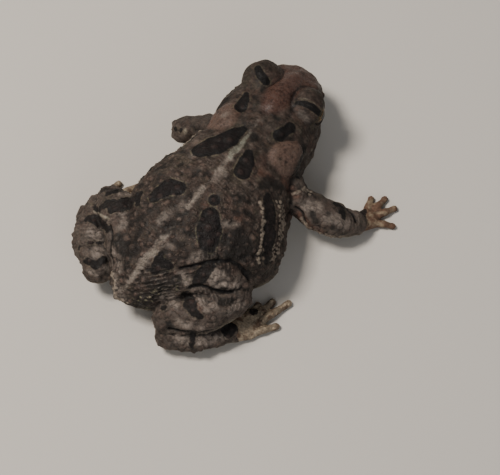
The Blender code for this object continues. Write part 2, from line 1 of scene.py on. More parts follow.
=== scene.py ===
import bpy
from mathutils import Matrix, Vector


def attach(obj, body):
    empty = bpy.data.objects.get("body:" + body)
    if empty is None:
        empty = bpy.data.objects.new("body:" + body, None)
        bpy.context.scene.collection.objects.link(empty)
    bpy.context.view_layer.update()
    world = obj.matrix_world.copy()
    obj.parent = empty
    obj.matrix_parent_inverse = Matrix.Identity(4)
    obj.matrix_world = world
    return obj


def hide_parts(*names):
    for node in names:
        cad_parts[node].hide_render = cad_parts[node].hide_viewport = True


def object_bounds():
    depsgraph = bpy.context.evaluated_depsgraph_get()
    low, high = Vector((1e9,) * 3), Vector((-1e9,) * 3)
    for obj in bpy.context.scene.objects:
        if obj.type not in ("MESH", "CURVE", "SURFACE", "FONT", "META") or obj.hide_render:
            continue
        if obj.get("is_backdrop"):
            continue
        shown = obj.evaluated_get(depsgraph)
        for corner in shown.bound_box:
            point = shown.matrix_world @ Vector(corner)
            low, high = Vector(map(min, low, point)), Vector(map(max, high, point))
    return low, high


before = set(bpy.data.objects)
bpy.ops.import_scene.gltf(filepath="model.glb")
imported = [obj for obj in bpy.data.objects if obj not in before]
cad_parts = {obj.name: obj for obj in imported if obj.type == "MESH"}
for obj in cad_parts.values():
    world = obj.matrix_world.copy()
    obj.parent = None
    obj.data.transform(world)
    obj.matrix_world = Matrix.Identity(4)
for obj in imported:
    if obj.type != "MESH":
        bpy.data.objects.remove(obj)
cad_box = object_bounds()
print("solid model", [[round(c * 1000, 1) for c in corner] for corner in cad_box], "mm")

# %% [markdown]
# # A Canadian toad in one skin
# The solid model is a toad in 21 pieces that meet with hairline gaps. A living toad has no gaps:
# one loose, warty skin runs over everything but the eyes. So this lesson builds the same forms
# again as smooth surfaces, melts them into one skin, raises the warts on it, and then paints it.
#
# The toad faces -Y, its left side is +X, and it crouches on the floor z = 0. All the work is done
# in millimetres, as a toad is a small thing, and becomes metres only when a mesh is finished.

# %% Tools and units
import math

import bpy
import numpy as np

MM = 0.001
WORLD_UP = np.array([0.0, 0.0, 1.0])
rng = np.random.default_rng(7)


# %% [markdown]
# ## Smooth lines
# A draughtsman gives a body by a few heights and widths from snout to vent and lets a bent strip
# of wood run through them. The function below is that strip. A straight line between the numbers
# would leave facets, and one polynomial through all of them would swing, so each stretch gets its
# own cubic whose slopes agree with its neighbours'.

# %% A smooth line through given values
def along(line, at):
    """Cubic curve through rows (station, values...): between two rows it blends the rows and
    their slopes with the four Hermite weights; a row's slope is that of its neighbours."""
    line = np.asarray(line, float)
    where, values = line[:, 0], line[:, 1:]
    slopes = np.gradient(values, where, axis=0)
    at = np.atleast_1d(np.asarray(at, float))
    i = np.clip(np.searchsorted(where, at) - 1, 0, len(where) - 2)
    step = (where[i + 1] - where[i])[:, None]
    t = np.clip((at - where[i]) / step[:, 0], 0, 1)[:, None]
    start = (1 + 2 * t) * (1 - t) ** 2 * values[i] + t * (1 - t) ** 2 * step * slopes[i]
    end = t * t * (3 - 2 * t) * values[i + 1] + t * t * (t - 1) * step * slopes[i + 1]
    return (start + end).squeeze()


def through(points, share):
    """The same curve through points of any width, at shares from 0 to 1 of their order."""
    points = np.asarray(points, float).reshape(len(points), -1)
    stations = np.linspace(0, 1, len(points))[:, None]
    return along(np.hstack([stations, points]), share).reshape(len(share), -1)


def unit(vectors):
    return vectors / np.maximum(np.linalg.norm(vectors, axis=-1, keepdims=True), 1e-12)


# %% [markdown]
# ## From rings to a closed surface
# Every form of the body is a stack of rings. Neighbouring rings are joined by two triangles for
# each side, and the first and last ring are drawn together to a point, so that each form is
# closed. Whole index arrays make the triangles at once: no loop walks over the vertices.

# %% Close a stack of rings
def closed(rings):
    """Points and triangles of rings (n, m, 3): ring i joins ring i + 1, and a fan joins each end
    ring to its own middle."""
    count, sides = rings.shape[:2]
    points = np.vstack([rings.reshape(-1, 3), rings[0].mean(axis=0), rings[-1].mean(axis=0)])
    near = (np.arange(count - 1)[:, None] * sides + np.arange(sides)).ravel()
    aside = (np.arange(count - 1)[:, None] * sides + (np.arange(sides) + 1) % sides).ravel()
    first, last = np.arange(sides), np.arange(sides) + (count - 1) * sides
    after_first, after_last = (first + 1) % sides, (first + 1) % sides + (count - 1) * sides
    low, high = np.full(sides, count * sides), np.full(sides, count * sides + 1)
    faces = np.vstack([
        np.stack([near, aside, aside + sides], 1), np.stack([near, aside + sides, near + sides], 1),
        np.stack([after_first, first, low], 1), np.stack([last, after_last, high], 1)])
    inside_out = np.einsum("ij,ij->i", points[faces[:, 0]],
                           np.cross(points[faces[:, 1]], points[faces[:, 2]])).sum() < 0
    return points, faces[:, ::-1] if inside_out else faces


def tube(path, width, height, rings=36, sides=32):
    """An oval carried along a smooth path. Point = middle(s) + width(s) cos(t) across
    + height(s) sin(t) up. Past each end the oval shrinks by the cosine of a quarter turn and
    moves on by its sine, which makes a round end."""
    share = np.linspace(0, 1, rings)
    middle, half, tall = through(path, share), through(width, share), through(height, share)
    forward = unit(np.gradient(middle, axis=0))
    across = unit(np.cross(forward, WORLD_UP))
    upward = np.cross(across, forward)
    quarter = np.radians([15, 30, 45, 58, 70, 80])
    at = np.concatenate([np.zeros(6, int), np.arange(rings), np.full(6, rings - 1)])
    lean = np.concatenate([-quarter[::-1], np.zeros(rings), quarter])[:, None]
    turn = np.linspace(0, 2 * math.pi, sides, endpoint=False)[None, :, None]
    centre = middle[at] + forward[at] * (half + tall)[at] / 2 * np.sin(lean)
    ring = (half[at] * np.cos(lean) * across[at])[:, None] * np.cos(turn)
    ring = ring + (tall[at] * np.cos(lean) * upward[at])[:, None] * np.sin(turn)
    return closed(centre[:, None] + ring)


def turned(lean, splay):
    """The matrix that leans about Y and then turns about Z, in degrees."""
    a, b = math.radians(lean), math.radians(splay)
    about_y = np.array([[math.cos(a), 0, math.sin(a)], [0, 1, 0], [-math.sin(a), 0, math.cos(a)]])
    about_z = np.array([[math.cos(b), -math.sin(b), 0], [math.sin(b), math.cos(b), 0], [0, 0, 1]])
    return about_z @ about_y


def egg(centre, radii, lean=0.0, splay=0.0, rings=40, sides=48):
    """An ellipsoid, latitude by longitude, leaned about Y and then turned about Z, in degrees."""
    latitude = np.linspace(0, math.pi, rings + 2)[1:-1, None]
    turn = np.linspace(0, 2 * math.pi, sides, endpoint=False)[None, :]
    ball = np.stack([np.sin(latitude) * np.cos(turn), np.sin(latitude) * np.sin(turn),
                     np.cos(latitude) * np.ones_like(turn)], axis=-1) * radii
    return closed(ball @ turned(lean, splay).T + centre)


# %% [markdown]
# ## Head and trunk
# A toad has no neck: head and trunk are one soft bag, wide behind the middle and flattened where
# it lies on the ground. Its lines from snout to vent give the back, the belly, the half width and
# the height where it is widest. The trunk bows a little to the right, as in a toad that has just
# stopped, so the middle line wanders too.

# %% Lines of the body
BACK_LINE = ((-29.9, 8.8), (-29.1, 10.4), (-27, 12.1), (-22, 14.3), (-15, 15.8), (-8, 16.6),
             (0, 18.8), (8, 20.0), (15, 19.2), (22, 16.4), (27, 13.2), (30, 9.6), (31, 7.6))
BELLY_LINE = ((-29.9, 7.2), (-28.9, 5.0), (-26, 3.7), (-20, 2.8), (-13, 1.6), (-5, -0.7),
              (20, -0.7), (25, 0.8), (29, 3.6), (31, 6.2))
SIDE_LINE = ((-29.9, 0.7), (-29.2, 2.7), (-27.5, 5.3), (-24, 7.5), (-20, 9.3), (-16, 10.4),
             (-11, 10.6), (-6, 11.0), (0, 12.6), (6, 14.6), (11, 15.2), (15, 13.7), (20, 10.5),
             (25, 7.4), (29, 4.8), (31, 1.2))
WIDEST_LINE = ((-29.9, 8.0), (-24, 7.2), (-10, 7.2), (5, 7.4), (18, 9.0), (31, 7.0))
MIDDLE_LINE = ((-29.9, 0.0), (-21, -0.1), (-10, -1.5), (-2, -3.4), (5, -4.5), (11, -4.4),
               (18, -2.6), (25, -1.2), (31, 0.2))
CREST_LINE = ((-29.9, 0.0), (-21, -0.3), (-10, -1.4), (5, -2.0), (18, -2.1), (25, -1.2), (31, 0.2))
SNOUT_Y, VENT_Y = BACK_LINE[0][0], BACK_LINE[-1][0]
TOP_FULLNESS, BELLY_FULLNESS = 2.25, 2.7


def squared(angle, fullness):
    """Cosine and sine raised to 2 / fullness: a circle at 2, squarer above it."""
    c, s = np.cos(angle), np.sin(angle)
    return np.sign(c) * abs(c) ** (2 / fullness), np.sign(s) * abs(s) ** (2 / fullness)


def body(rings=110, sides=96):
    """Half width (y) times a squared cosine across, rise or drop (y) times a squared sine up,
    about a middle line that leans over to the crest line above the widest level."""
    half_turn = np.linspace(0, math.pi, rings + 2)[1:-1]
    y = (SNOUT_Y + VENT_Y) / 2 - (VENT_Y - SNOUT_Y) / 2 * np.cos(half_turn)
    turn = np.linspace(0, 2 * math.pi, sides, endpoint=False)
    level, middle = along(WIDEST_LINE, y)[:, None], along(MIDDLE_LINE, y)[:, None]
    across_top, up = squared(turn, TOP_FULLNESS)
    across_low, down = squared(turn, BELLY_FULLNESS)
    above = up >= 0
    x = middle + along(SIDE_LINE, y)[:, None] * np.where(above, across_top, across_low)
    x = x + (along(CREST_LINE, y)[:, None] - middle) * np.where(above, up, 0)
    rise = along(BACK_LINE, y)[:, None] - level
    drop = level - along(BELLY_LINE, y)[:, None]
    z = level + np.where(above, rise * up, drop * down)
    return closed(np.stack([x, np.broadcast_to(y[:, None], x.shape), z], axis=-1))


def middle_at(y):
    return float(along(MIDDLE_LINE, y))


forms = {"head and trunk": body()}
print("body", len(forms["head and trunk"][1]), "triangles")

# %% [markdown]
# ## The face
# Three things make this face a Canadian toad's: lids that bulge like half balls, the long boss
# between them that runs down to the snout, and a bean-shaped gland behind each eye. They are
# simple eggs and tubes here, sunk into the head. What makes them skin comes later, when they
# melt into it.

# %% Lids, boss, snout ridges and glands
EYE_Y, EYE_SIDE, EYE_Z, EYE_RADIUS = -21.2, 6.1, 11.7, 2.9
LID_SIDE, LID_RADII = 5.4, (3.9, 4.5, 3.9)
BOSS_Y, BOSS_DEPTH = (-26.6, -15.6), 2.2
BOSS_WIDTH, BOSS_RISE = (1.6, 2.5, 2.9, 2.8, 2.2), (0.0, 0.5, 0.8, 0.85, 0.55)
RIDGE_PATH, RIDGE_RADII = ((4.2, -23.6, 11.2), (3.2, -26.2, 10.2), (1.9, -28.0, 9.3)), (1.9, 1.6, 1.1)
GLAND = dict(side=7.4, y=-7.9, radii=(3.6, 5.3, 2.1), sink=0.75, splay=9.0)


def eye_centre(side):
    return np.array([middle_at(EYE_Y) + side * EYE_SIDE, EYE_Y, EYE_Z])


def gland(side, grow=0.0):
    """An egg that lies on the shoulder and leans with it: its lean is the slope of the oval
    section of the trunk at that place."""
    y, out = GLAND["y"], GLAND["side"]
    level = float(along(WIDEST_LINE, y))
    rise, half = float(along(BACK_LINE, y)) - level, float(along(SIDE_LINE, y))
    z = level + rise * math.sqrt(1 - (out / half) ** 2)
    lean = math.atan2(out / half ** 2, (z - level) / rise ** 2)
    sunk = np.array([side * math.sin(lean), 0, math.cos(lean)]) * GLAND["sink"]
    centre = np.array([middle_at(y) + side * out, y, z]) - sunk
    return centre, np.array(GLAND["radii"]) + grow, math.degrees(lean) * side, side * GLAND["splay"]


boss_y = np.linspace(*BOSS_Y, len(BOSS_WIDTH))
boss_z = along(BACK_LINE, boss_y) - BOSS_DEPTH + np.array(BOSS_RISE)
boss_path = np.stack([along(CREST_LINE, boss_y), boss_y, boss_z], axis=-1)
forms["boss"] = tube(boss_path, BOSS_WIDTH, [BOSS_DEPTH] * len(BOSS_WIDTH))
for side, word in ((1, "left"), (-1, "right")):
    lid_centre = (middle_at(EYE_Y) + side * LID_SIDE, EYE_Y, EYE_Z)
    forms[f"lid {word}"] = egg(lid_centre, LID_RADII)
    ridge = [(middle_at(EYE_Y) + side * x, y, z) for x, y, z in RIDGE_PATH]
    forms[f"snout ridge {word}"] = tube(ridge, RIDGE_RADII, RIDGE_RADII)
    forms[f"gland {word}"] = egg(*gland(side))
print(len(forms), "forms after the face")

# %% [markdown]
# ## Legs and arms
# Each limb is a chain of tubes, one for every length between two joints, that run a little way
# into each other. The hind legs are folded flat against the body, heel by the vent; the right arm
# reaches out sideways and the left one is folded in under the chin. One table of paths serves the
# hind leg of both sides, mirrored about the pelvis and then shifted a little, because no animal
# sits quite evenly.

# %% Limb tables
PELVIS_X = -0.6
LEG = dict(
    thigh=(((-6.0, 23.2, 9.8), (-11.5, 17.8, 10.2), (-15.0, 15.5, 9.0)),
           (3.5, 4.1, 3.2), (4.3, 4.8, 4.0)),
    shank=(((-16.6, 18.0, 6.9), (-13.6, 23.4, 6.9), (-9.0, 28.1, 6.0)),
           (3.3, 4.1, 3.1), (4.0, 4.4, 3.4)),
    tarsus=(((-10.2, 30.4, 3.0), (-14.8, 27.8, 2.9), (-19.0, 22.6, 2.2)),
            (2.3, 2.2, 2.0), (2.7, 2.5, 1.9)),
    sole=(((-18.6, 22.6, 1.5), (-20.6, 19.2, 0.9)), (2.1, 2.9), (1.6, 1.0)))
TOE_ROOTS = ((-18.9, 20.6), (-19.5, 19.7), (-20.5, 19.0), (-21.5, 19.1), (-21.9, 20.3))
TOE_TIPS = ((-18.7, 16.9), (-19.8, 14.2), (-21.6, 12.0), (-24.3, 10.4), (-25.2, 15.7))
KNEE_SHIFT, HEEL_SHIFT, TARSUS_SHIFT = (-0.6, 1.2, -0.4), (0.5, -0.3, 0.0), (0.2, -3.5, 0.0)
LEFT_FOOT_TURN = -42.0
ARMS = dict(
    right=dict(
        upper_arm=(((-8.2, -8.8, 7.6), (-11.6, -7.2, 7.8), (-14.4, -5.9, 7.4)),
                   (3.0, 3.0, 2.9), (3.4, 3.3, 3.0)),
        forearm=(((-14.6, -6.0, 7.0), (-18.2, -6.3, 6.2), (-22.4, -7.6, 5.0), (-25.4, -10.2, 3.1)),
                 (2.9, 3.3, 3.4, 2.6), (3.0, 3.1, 3.0, 2.1)),
        palm=(((-25.6, -10.9, 2.0), (-26.6, -13.4, 1.2)), (1.9, 2.3), (1.7, 1.2)),
        roots=((-25.5, -13.8), (-26.3, -14.4), (-27.2, -14.3), (-27.9, -13.4)),
        tips=((-24.4, -17.6), (-26.6, -19.2), (-29.3, -18.6), (-31.2, -15.2))),
    left=dict(
        upper_arm=(((6.8, -8.8, 7.4), (10.2, -6.8, 7.0), (13.0, -5.4, 6.0)),
                   (3.0, 2.7, 2.5), (3.4, 3.0, 2.5)),
        forearm=(((12.9, -6.0, 5.4), (11.0, -9.0, 4.2), (9.4, -12.2, 2.6)),
                 (2.6, 2.5, 2.0), (2.7, 2.5, 1.8)),
        palm=(((9.2, -12.8, 1.9), (8.4, -15.0, 1.2)), (1.8, 2.3), (1.6, 1.1)),
        roots=((7.3, -15.2), (8.0, -15.9), (8.9, -16.0), (9.7, -15.4)),
        tips=((4.2, -17.6), (6.0, -20.2), (8.4, -21.1), (11.1, -19.4))))
TOE_RADII, FINGER_RADII = (1.0, 0.68), (0.95, 0.62)


def left_leg():
    """The right leg mirrored, its knee and heel shifted and its foot turned in under the shank."""
    leg = {name: (np.array(path) * (-1, 1, 1) + (2 * PELVIS_X, 0, 0), wide, tall)
           for name, (path, wide, tall) in LEG.items()}
    shares = np.array([[0.0], [0.5], [1.0]])
    leg["thigh"][0][:] += shares * KNEE_SHIFT
    leg["shank"][0][:] += shares[::-1] * KNEE_SHIFT + shares * HEEL_SHIFT
    leg["tarsus"][0][:] += TARSUS_SHIFT
    pivot = leg["sole"][0][0].copy()
    a = math.radians(LEFT_FOOT_TURN)
    turn = np.array([[math.cos(a), -math.sin(a)], [math.sin(a), math.cos(a)]])

    def tucked(points):
        points = np.array(points, float)
        points[:, :2] = (points[:, :2] - pivot[:2]) @ turn.T + pivot[:2] + TARSUS_SHIFT[:2]
        return points

    leg["sole"] = (tucked(leg["sole"][0]), *LEG["sole"][1:])
    flip = np.array([-1, 1])
    return leg, tucked(np.array(TOE_ROOTS) * flip + (2 * PELVIS_X, 0)), \
        tucked(np.array(TOE_TIPS) * flip + (2 * PELVIS_X, 0))


# %% [markdown]
# ## Digits and webs
# A toad's toes are blunt and knuckled: a tube that tapers and swells again a little at its joint
# and tip says that well enough. The hind toes are joined at their roots by a thin web with a
# hollow edge. It could be a flat sheet, but a skin has two sides, so it is made as a row of very
# flat ovals that spans from one toe to the next.

# %% Digits and webs
def digit(root, tip, radii):
    """A tube over the floor whose radius falls from root to tip and swells at joint and tip:
    radius = straight taper + a small bell curve at each."""
    share = np.linspace(0, 1, 14)[:, None]
    flat = np.asarray(root) * (1 - share) + np.asarray(tip) * share
    radius = radii[0] + (radii[1] - radii[0]) * share[:, 0] ** 0.7
    radius = radius + 0.10 * np.exp(-((share[:, 0] - 0.55) / 0.12) ** 2)
    radius = radius + 0.10 * np.exp(-((share[:, 0] - 1.0) / 0.12) ** 2) - 0.04
    height = radius * 0.85 + 0.35 * np.sin(math.pi * share[:, 0]) ** 2
    return tube(np.column_stack([flat, height]), radius, radius * 0.9, 30, 20)


def web(root_a, tip_a, root_b, tip_b, reach):
    """Flat ovals from toe a to toe b. Oval t runs from the roots out to a share of the toes'
    length that dips in the middle: reach * (1 - 0.45 sin(pi t))."""
    t = np.linspace(0.0, 1.0, 16)[:, None, None]
    turn = np.linspace(0, 2 * math.pi, 24, endpoint=False)[None, :, None]
    out = reach * (1 - 0.45 * np.sin(math.pi * t)) * (0.5 + 0.5 * np.cos(turn))
    a = np.asarray(root_a) + (np.asarray(tip_a) - root_a) * out
    b = np.asarray(root_b) + (np.asarray(tip_b) - root_b) * out
    flat = a * (1 - t) + b * t
    height = 0.5 + 0.36 * np.sin(turn) * np.ones_like(t)
    return closed(np.concatenate([flat, height], axis=-1))


leg_left, toe_roots_left, toe_tips_left = left_leg()
feet = dict(right=(LEG, TOE_ROOTS, TOE_TIPS), left=(leg_left, toe_roots_left, toe_tips_left))
for word, (leg, toe_roots, toe_tips) in feet.items():
    for name, (path, wide, tall) in leg.items():
        forms[f"{name} {word}"] = tube(path, wide, tall)
    for i, (root, tip) in enumerate(zip(toe_roots, toe_tips)):
        forms[f"toe {i} {word}"] = digit(root, tip, TOE_RADII)
    for i in range(4):
        forms[f"web {i} {word}"] = web(toe_roots[i], toe_tips[i], toe_roots[i + 1], toe_tips[i + 1], 0.5)
    arm = ARMS[word]
    for name in ("upper_arm", "forearm", "palm"):
        forms[f"{name} {word}"] = tube(*arm[name])
    for i, (root, tip) in enumerate(zip(arm["roots"], arm["tips"])):
        forms[f"finger {i} {word}"] = digit(root, tip, FINGER_RADII)
print(len(forms), "forms in all")


# %% [markdown]
# ## One skin
# The forms pass through each other like balls of clay pressed together. Blender's Remesh modifier
# in voxel mode wraps all of them in one even net of small squares and drops everything inside. A
# Boolean union would keep the exact edges where two forms meet, and here that would be wrong:
# skin bridges such edges. The net is fine enough to carry a wart a third of a millimetre high.

# %% Wrap the forms in one net
VOXEL = 0.305


def object_of(name, points, faces):
    """A new object from points in its own units and triangles or quads, as it stands."""
    mesh = bpy.data.meshes.new(name)
    mesh.from_pydata(points, [], faces)
    made = bpy.data.objects.new(name, mesh)
    bpy.context.scene.collection.objects.link(made)
    return made


def wrapped(parts, voxel):
    """All closed forms in one mesh, flattened on the floor and remeshed by voxels; returns its
    points and its squares."""
    starts = np.cumsum([0] + [len(points) for points, _ in parts])
    points = np.vstack([points for points, _ in parts])
    points[:, 2] = np.maximum(points[:, 2], 0.03)
    faces = np.vstack([faces + start for (_, faces), start in zip(parts, starts)])
    clay = object_of("clay", points, faces.tolist())
    remesh = clay.modifiers.new("wrap", "REMESH")
    remesh.mode = "VOXEL"
    remesh.voxel_size = voxel
    graph = bpy.context.evaluated_depsgraph_get()
    net = clay.evaluated_get(graph).to_mesh()
    out = np.empty(len(net.vertices) * 3)
    net.vertices.foreach_get("co", out)
    corners = np.empty(len(net.loops), int)
    net.loops.foreach_get("vertex_index", corners)
    sides = np.empty(len(net.polygons), int)
    net.polygons.foreach_get("loop_total", sides)
    assert (sides == 4).all()
    clay.evaluated_get(graph).to_mesh_clear()
    bpy.data.objects.remove(clay)
    return out.reshape(-1, 3), corners.reshape(-1, 4)


skin, quads = wrapped(list(forms.values()), VOXEL)
print("skin", len(skin), "points,", len(quads) * 2, "triangles")

# %% [markdown]
# ## Soften the joins
# Where two forms met, the net has a hard valley. Each point is now drawn towards the mean of its
# neighbours, and then pushed back by almost as much. The first step alone would make the toad
# shrink and its fingers thin; the pair of steps smooths small ripples and keeps large forms. The
# head gets more of it than the legs, whose folds should stay deep.

# %% Smooth and measure
SKIN_ROUNDS, HEAD_ROUNDS, TOP_ROUNDS = 10, 30, 25

edges = np.unique(np.sort(np.vstack([quads[:, [0, 1]], quads[:, [1, 2]], quads[:, [2, 3]],
                                     quads[:, [3, 0]]]), axis=1), axis=0)
degree = np.bincount(edges.ravel(), minlength=len(skin))[:, None]


def pull(values):
    """The mean of each point's neighbours, less its own value, for any columns of values."""
    values = values.reshape(len(values), -1)
    total = np.stack([np.bincount(edges[:, 0], column[edges[:, 1]], len(values))
                      + np.bincount(edges[:, 1], column[edges[:, 0]], len(values))
                      for column in values.T], axis=1)
    return total / degree - values


def smoothed(points, rounds, weight=1.0):
    """Steps of 0.5 towards the neighbours, each followed by a step of 0.51 back."""
    for _ in range(rounds):
        points = points + 0.5 * weight * pull(points)
        points = points - 0.51 * weight * pull(points)
    return points


def normals_of(points):
    """The cross product of each square's diagonals, summed at its corners."""
    cross = np.cross(points[quads[:, 2]] - points[quads[:, 0]], points[quads[:, 3]] - points[quads[:, 1]])
    total = np.stack([sum(np.bincount(quads[:, k], column, len(points)) for k in range(4))
                      for column in cross.T], axis=1)
    return unit(total)


def bell(distance, width):
    return np.exp(-(distance / width) ** 2)


def step(value, low, high):
    """0 below low, 1 above high, and the smooth cubic 3t^2 - 2t^3 between."""
    t = np.clip((value - low) / (high - low), 0, 1)
    return t * t * (3 - 2 * t)


skin = smoothed(skin, SKIN_ROUNDS)
head_share = (1 - step(skin[:, 1], -14.5, -11.0))[:, None] * step(skin[:, 2], 3.0, 5.0)[:, None]
skin = smoothed(skin, HEAD_ROUNDS, head_share)
trunk_top = step(skin[:, 2], 14.5, 15.5)[:, None]
skin = smoothed(skin, TOP_ROUNDS, trunk_top)
normals = normals_of(skin)
print("softened; lowest point", round(float(skin[:, 2].min()), 2), "mm")

# %% [markdown]
# ## Eyes open
# The lid is closed so far. Round the centre of each eye the skin is given in directions and
# distances, like a globe. In an almond-shaped window it sinks below the eyeball, and just outside
# the window it stands out as the rim of the lid. The same could be done by cutting with a solid,
# but a cut leaves a sharp edge, and a lid has a soft one.

# %% Open the lids
GAZE = unit(np.array([0.93, -0.30, 0.16]))
WINDOW_WIDE, WINDOW_UP, WINDOW_DOWN = 0.93, 0.43, 0.60


def gaze_frame(side):
    """Unit vectors of one eye: out along the gaze, forward across it and up across it."""
    out = GAZE * (side, 1, 1)
    ahead = unit(np.cross(WORLD_UP, out) * -side)
    return out, ahead, np.cross(out, ahead) * -side


def open_lid(points, side):
    """Window measure m = ((a / wide)^2 + (b / tall)^2)^(1/2) with a, b the angles fore and up
    from the gaze; the upper lid hangs lower than the lower one stands. Inside m = 1 the distance
    from the eye's centre falls to 0.8 radius."""
    out, ahead, above = gaze_frame(side)
    away = points - eye_centre(side)
    distance = np.linalg.norm(away, axis=1)
    d = away / np.maximum(distance, 1e-9)[:, None]
    angle = np.arccos(np.clip(d @ out, -1, 1))
    flat = unit(np.stack([d @ ahead, d @ above], axis=1))
    a, b = angle * flat[:, 0], angle * flat[:, 1]
    tall = np.where(b > 0, WINDOW_UP, WINDOW_DOWN) * (1 - 0.25 * abs(a))
    measure = np.sqrt((a / WINDOW_WIDE) ** 2 + (b / tall) ** 2)
    near = distance < EYE_RADIUS + 2.6
    sunk = EYE_RADIUS * 0.80
    rim = EYE_RADIUS + 0.42
    wanted = sunk + (rim - sunk) * step(measure, 0.86, 1.06)
    lid = step(measure, 1.05, 1.9)
    target = np.where(measure < 1.06, wanted, rim * (1 - lid) + distance * lid)
    target = np.where(measure < 1.06, target, np.minimum(target, np.maximum(distance, rim)))
    keep = ~near | (angle > 2.0)
    new = np.where(keep, distance, target)
    return eye_centre(side) + d * new[:, None], np.where(keep, 9.0, measure)


window = np.full(len(skin), 9.0)
for side in (1, -1):
    skin, measure = open_lid(skin, side)
    window = np.minimum(window, measure)
normals = normals_of(skin)
print("points in the windows:", int((window < 1).sum()))

# %% [markdown]
# ## Mouth, nostrils and ear drums
# These are shallow things, pressed into the finished net by pushing points in or out along their
# normals. Each is a formula of the distance to a line or a spot: the mouth is a groove between
# two lips along a slanting line, a nostril is a small pit with a raised rim, the ear drum is a
# ring with a flat disc inside, a fold runs where each lid rises from the head, and a low welt
# follows the lid's edge.

# %% Press in the small features of the head
MOUTH_FRONT_Z, MOUTH_BACK_Z, MOUTH_CORNER_Y = 6.7, 5.4, -15.6
NOSTRIL = (1.7, -28.9, 10.0)
DRUM_Y, DRUM_Z, DRUM_RADIUS = -16.7, 9.3, 1.2
LID_FOLD, LID_EDGE = 0.13, 0.11
CHEEK_Y = MOUTH_CORNER_Y - 0.6, MOUTH_CORNER_Y + 0.3

slant = (MOUTH_BACK_Z - MOUTH_FRONT_Z) / (MOUTH_CORNER_Y - SNOUT_Y)
mouth_gap = skin[:, 2] - (MOUTH_FRONT_Z + slant * (skin[:, 1] - SNOUT_Y))
in_mouth = (1 - step(skin[:, 1], *CHEEK_Y)) * step(-normals[:, 2] ** 2, -0.9, -0.6)
lips = 0.26 * bell(mouth_gap - 0.85, 0.45) + 0.16 * bell(mouth_gap + 0.8, 0.4)
push = (lips - 0.42 * bell(mouth_gap, 0.34)) * in_mouth
pits = np.zeros(len(skin))
drum = np.full(len(skin), 9.0)
lid_fold = np.zeros(len(skin))
for side in (1, -1):
    spot = np.array([middle_at(NOSTRIL[1]) + side * NOSTRIL[0], *NOSTRIL[1:]])
    r = np.linalg.norm(skin - spot, axis=1)
    push = push - 0.55 * bell(r, 0.42) + 0.14 * bell(r - 0.75, 0.25)
    pits = np.maximum(pits, bell(r, 0.5))
    facing = normals[:, 0] * side > 0.3
    r = np.hypot((skin[:, 1] - DRUM_Y) / 0.92, (skin[:, 2] - DRUM_Z) / 1.12)
    r = np.where(facing, r, 9.0)
    push = push + 0.22 * bell(r - DRUM_RADIUS, 0.28) - 0.12 * (1 - step(r, 0.7, 1.15))
    drum = np.minimum(drum, r)
    lid_middle = np.array([middle_at(EYE_Y) + side * LID_SIDE, EYE_Y, EYE_Z])
    lid_gap = np.linalg.norm((skin - lid_middle) / LID_RADII, axis=1) - 1
    lid_fold = np.maximum(lid_fold, bell(lid_gap - 0.11, 0.07) * step(skin[:, 2], 11.5, 13.0))
lid_fold = lid_fold * (window > 1.4) * (1 - 0.8 * step(np.abs(skin[:, 0]), 4.2, 6.4))
push = push - LID_FOLD * lid_fold + LID_EDGE * bell(window - 1.24, 0.15)
skin = skin + normals * push[:, None]
normals = normals_of(skin)
base, base_normals = skin.copy(), normals.copy()
print("deepest press", round(float(push.min()), 2), "mm")

# %% [markdown]
# ## From the photo to the skin
# The place of a mark is read most easily in a photo, as pixels across and down. The scene's camera
# looks at the toad as the photo does, so every point of the skin has a place in that picture too:
# its distances to the right of the middle line of sight and above it, times the pixels in a
# millimetre, and smaller the farther off the point lies. A mark belongs to the skin that faces the
# camera nearest to the mark's own pixel. Marks could be typed in millimetres instead, but those
# can't be read in a photo, and they would be wrong as soon as the body's lines changed.

# %% Find the skin at a place in the photo
AZIMUTH, ELEVATION, DISTANCE = 216.5, 64.0, 350.0
PIXELS_PER_MM, CENTRE_X, CENTRE_Y = 5.03, 219.5, 198.5
IMAGE_WIDE, IMAGE_TALL = 500, 475
PIXEL_REACHES, SKIN_DEPTH = (2.0, 3.5, 6.0, 12.0), 0.8

azimuth, elevation = math.radians(AZIMUTH), math.radians(ELEVATION)
back = np.array([math.sin(azimuth) * math.cos(elevation), -math.cos(azimuth) * math.cos(elevation),
                 math.sin(elevation)])
right = np.array([math.cos(azimuth), math.sin(azimuth), 0.0])
higher = np.cross(back, right)
depths = DISTANCE - base @ back
pixels = PIXELS_PER_MM * DISTANCE / depths
picture = np.stack([CENTRE_X + pixels * (base @ right), CENTRE_Y - pixels * (base @ higher)], axis=1)
facing_camera = base_normals @ back > 0.05


def on_skin(across, down):
    """A weighted mean of skin points, to a tenth of a millimetre. They face the camera, lie within
    the first reach that holds two or more of them, and are less than SKIN_DEPTH behind the nearest;
    a point's weight is 1 / (r + 0.3), where r is how many pixels off it lies."""
    r = np.hypot(*(picture - (across, down)).T)
    for reach in PIXEL_REACHES:
        found = np.flatnonzero(facing_camera & (r < reach))
        if len(found) > 1:
            break
    found = found[depths[found] < depths[found].min() + SKIN_DEPTH]
    weights = 1 / (r[found] + 0.3)
    return np.round(weights @ base[found] / weights.sum(), 1)


print("pixels to a millimetre on the skin:", round(pixels.min(), 2), "to", round(pixels.max(), 2))

# %% [markdown]
# ## Where the markings lie
# The dark spots, limb bars, rosy patches and pale lines follow the animal's surface. Each is
# written down as a path with half its width at every place, and what is stored on the skin is how
# far a point lies outside it, in millimetres. The material can then draw an edge as crisp or as
# ragged as it likes, finer than the net. A painted image would do the same, but paths can be read,
# moved and widened by hand. A place of three numbers is pixels across, pixels down and half the
# width in millimetres. The few places of four are x, y, z and half the width, all in millimetres,
# for skin that the photo hides or shows edge-on.

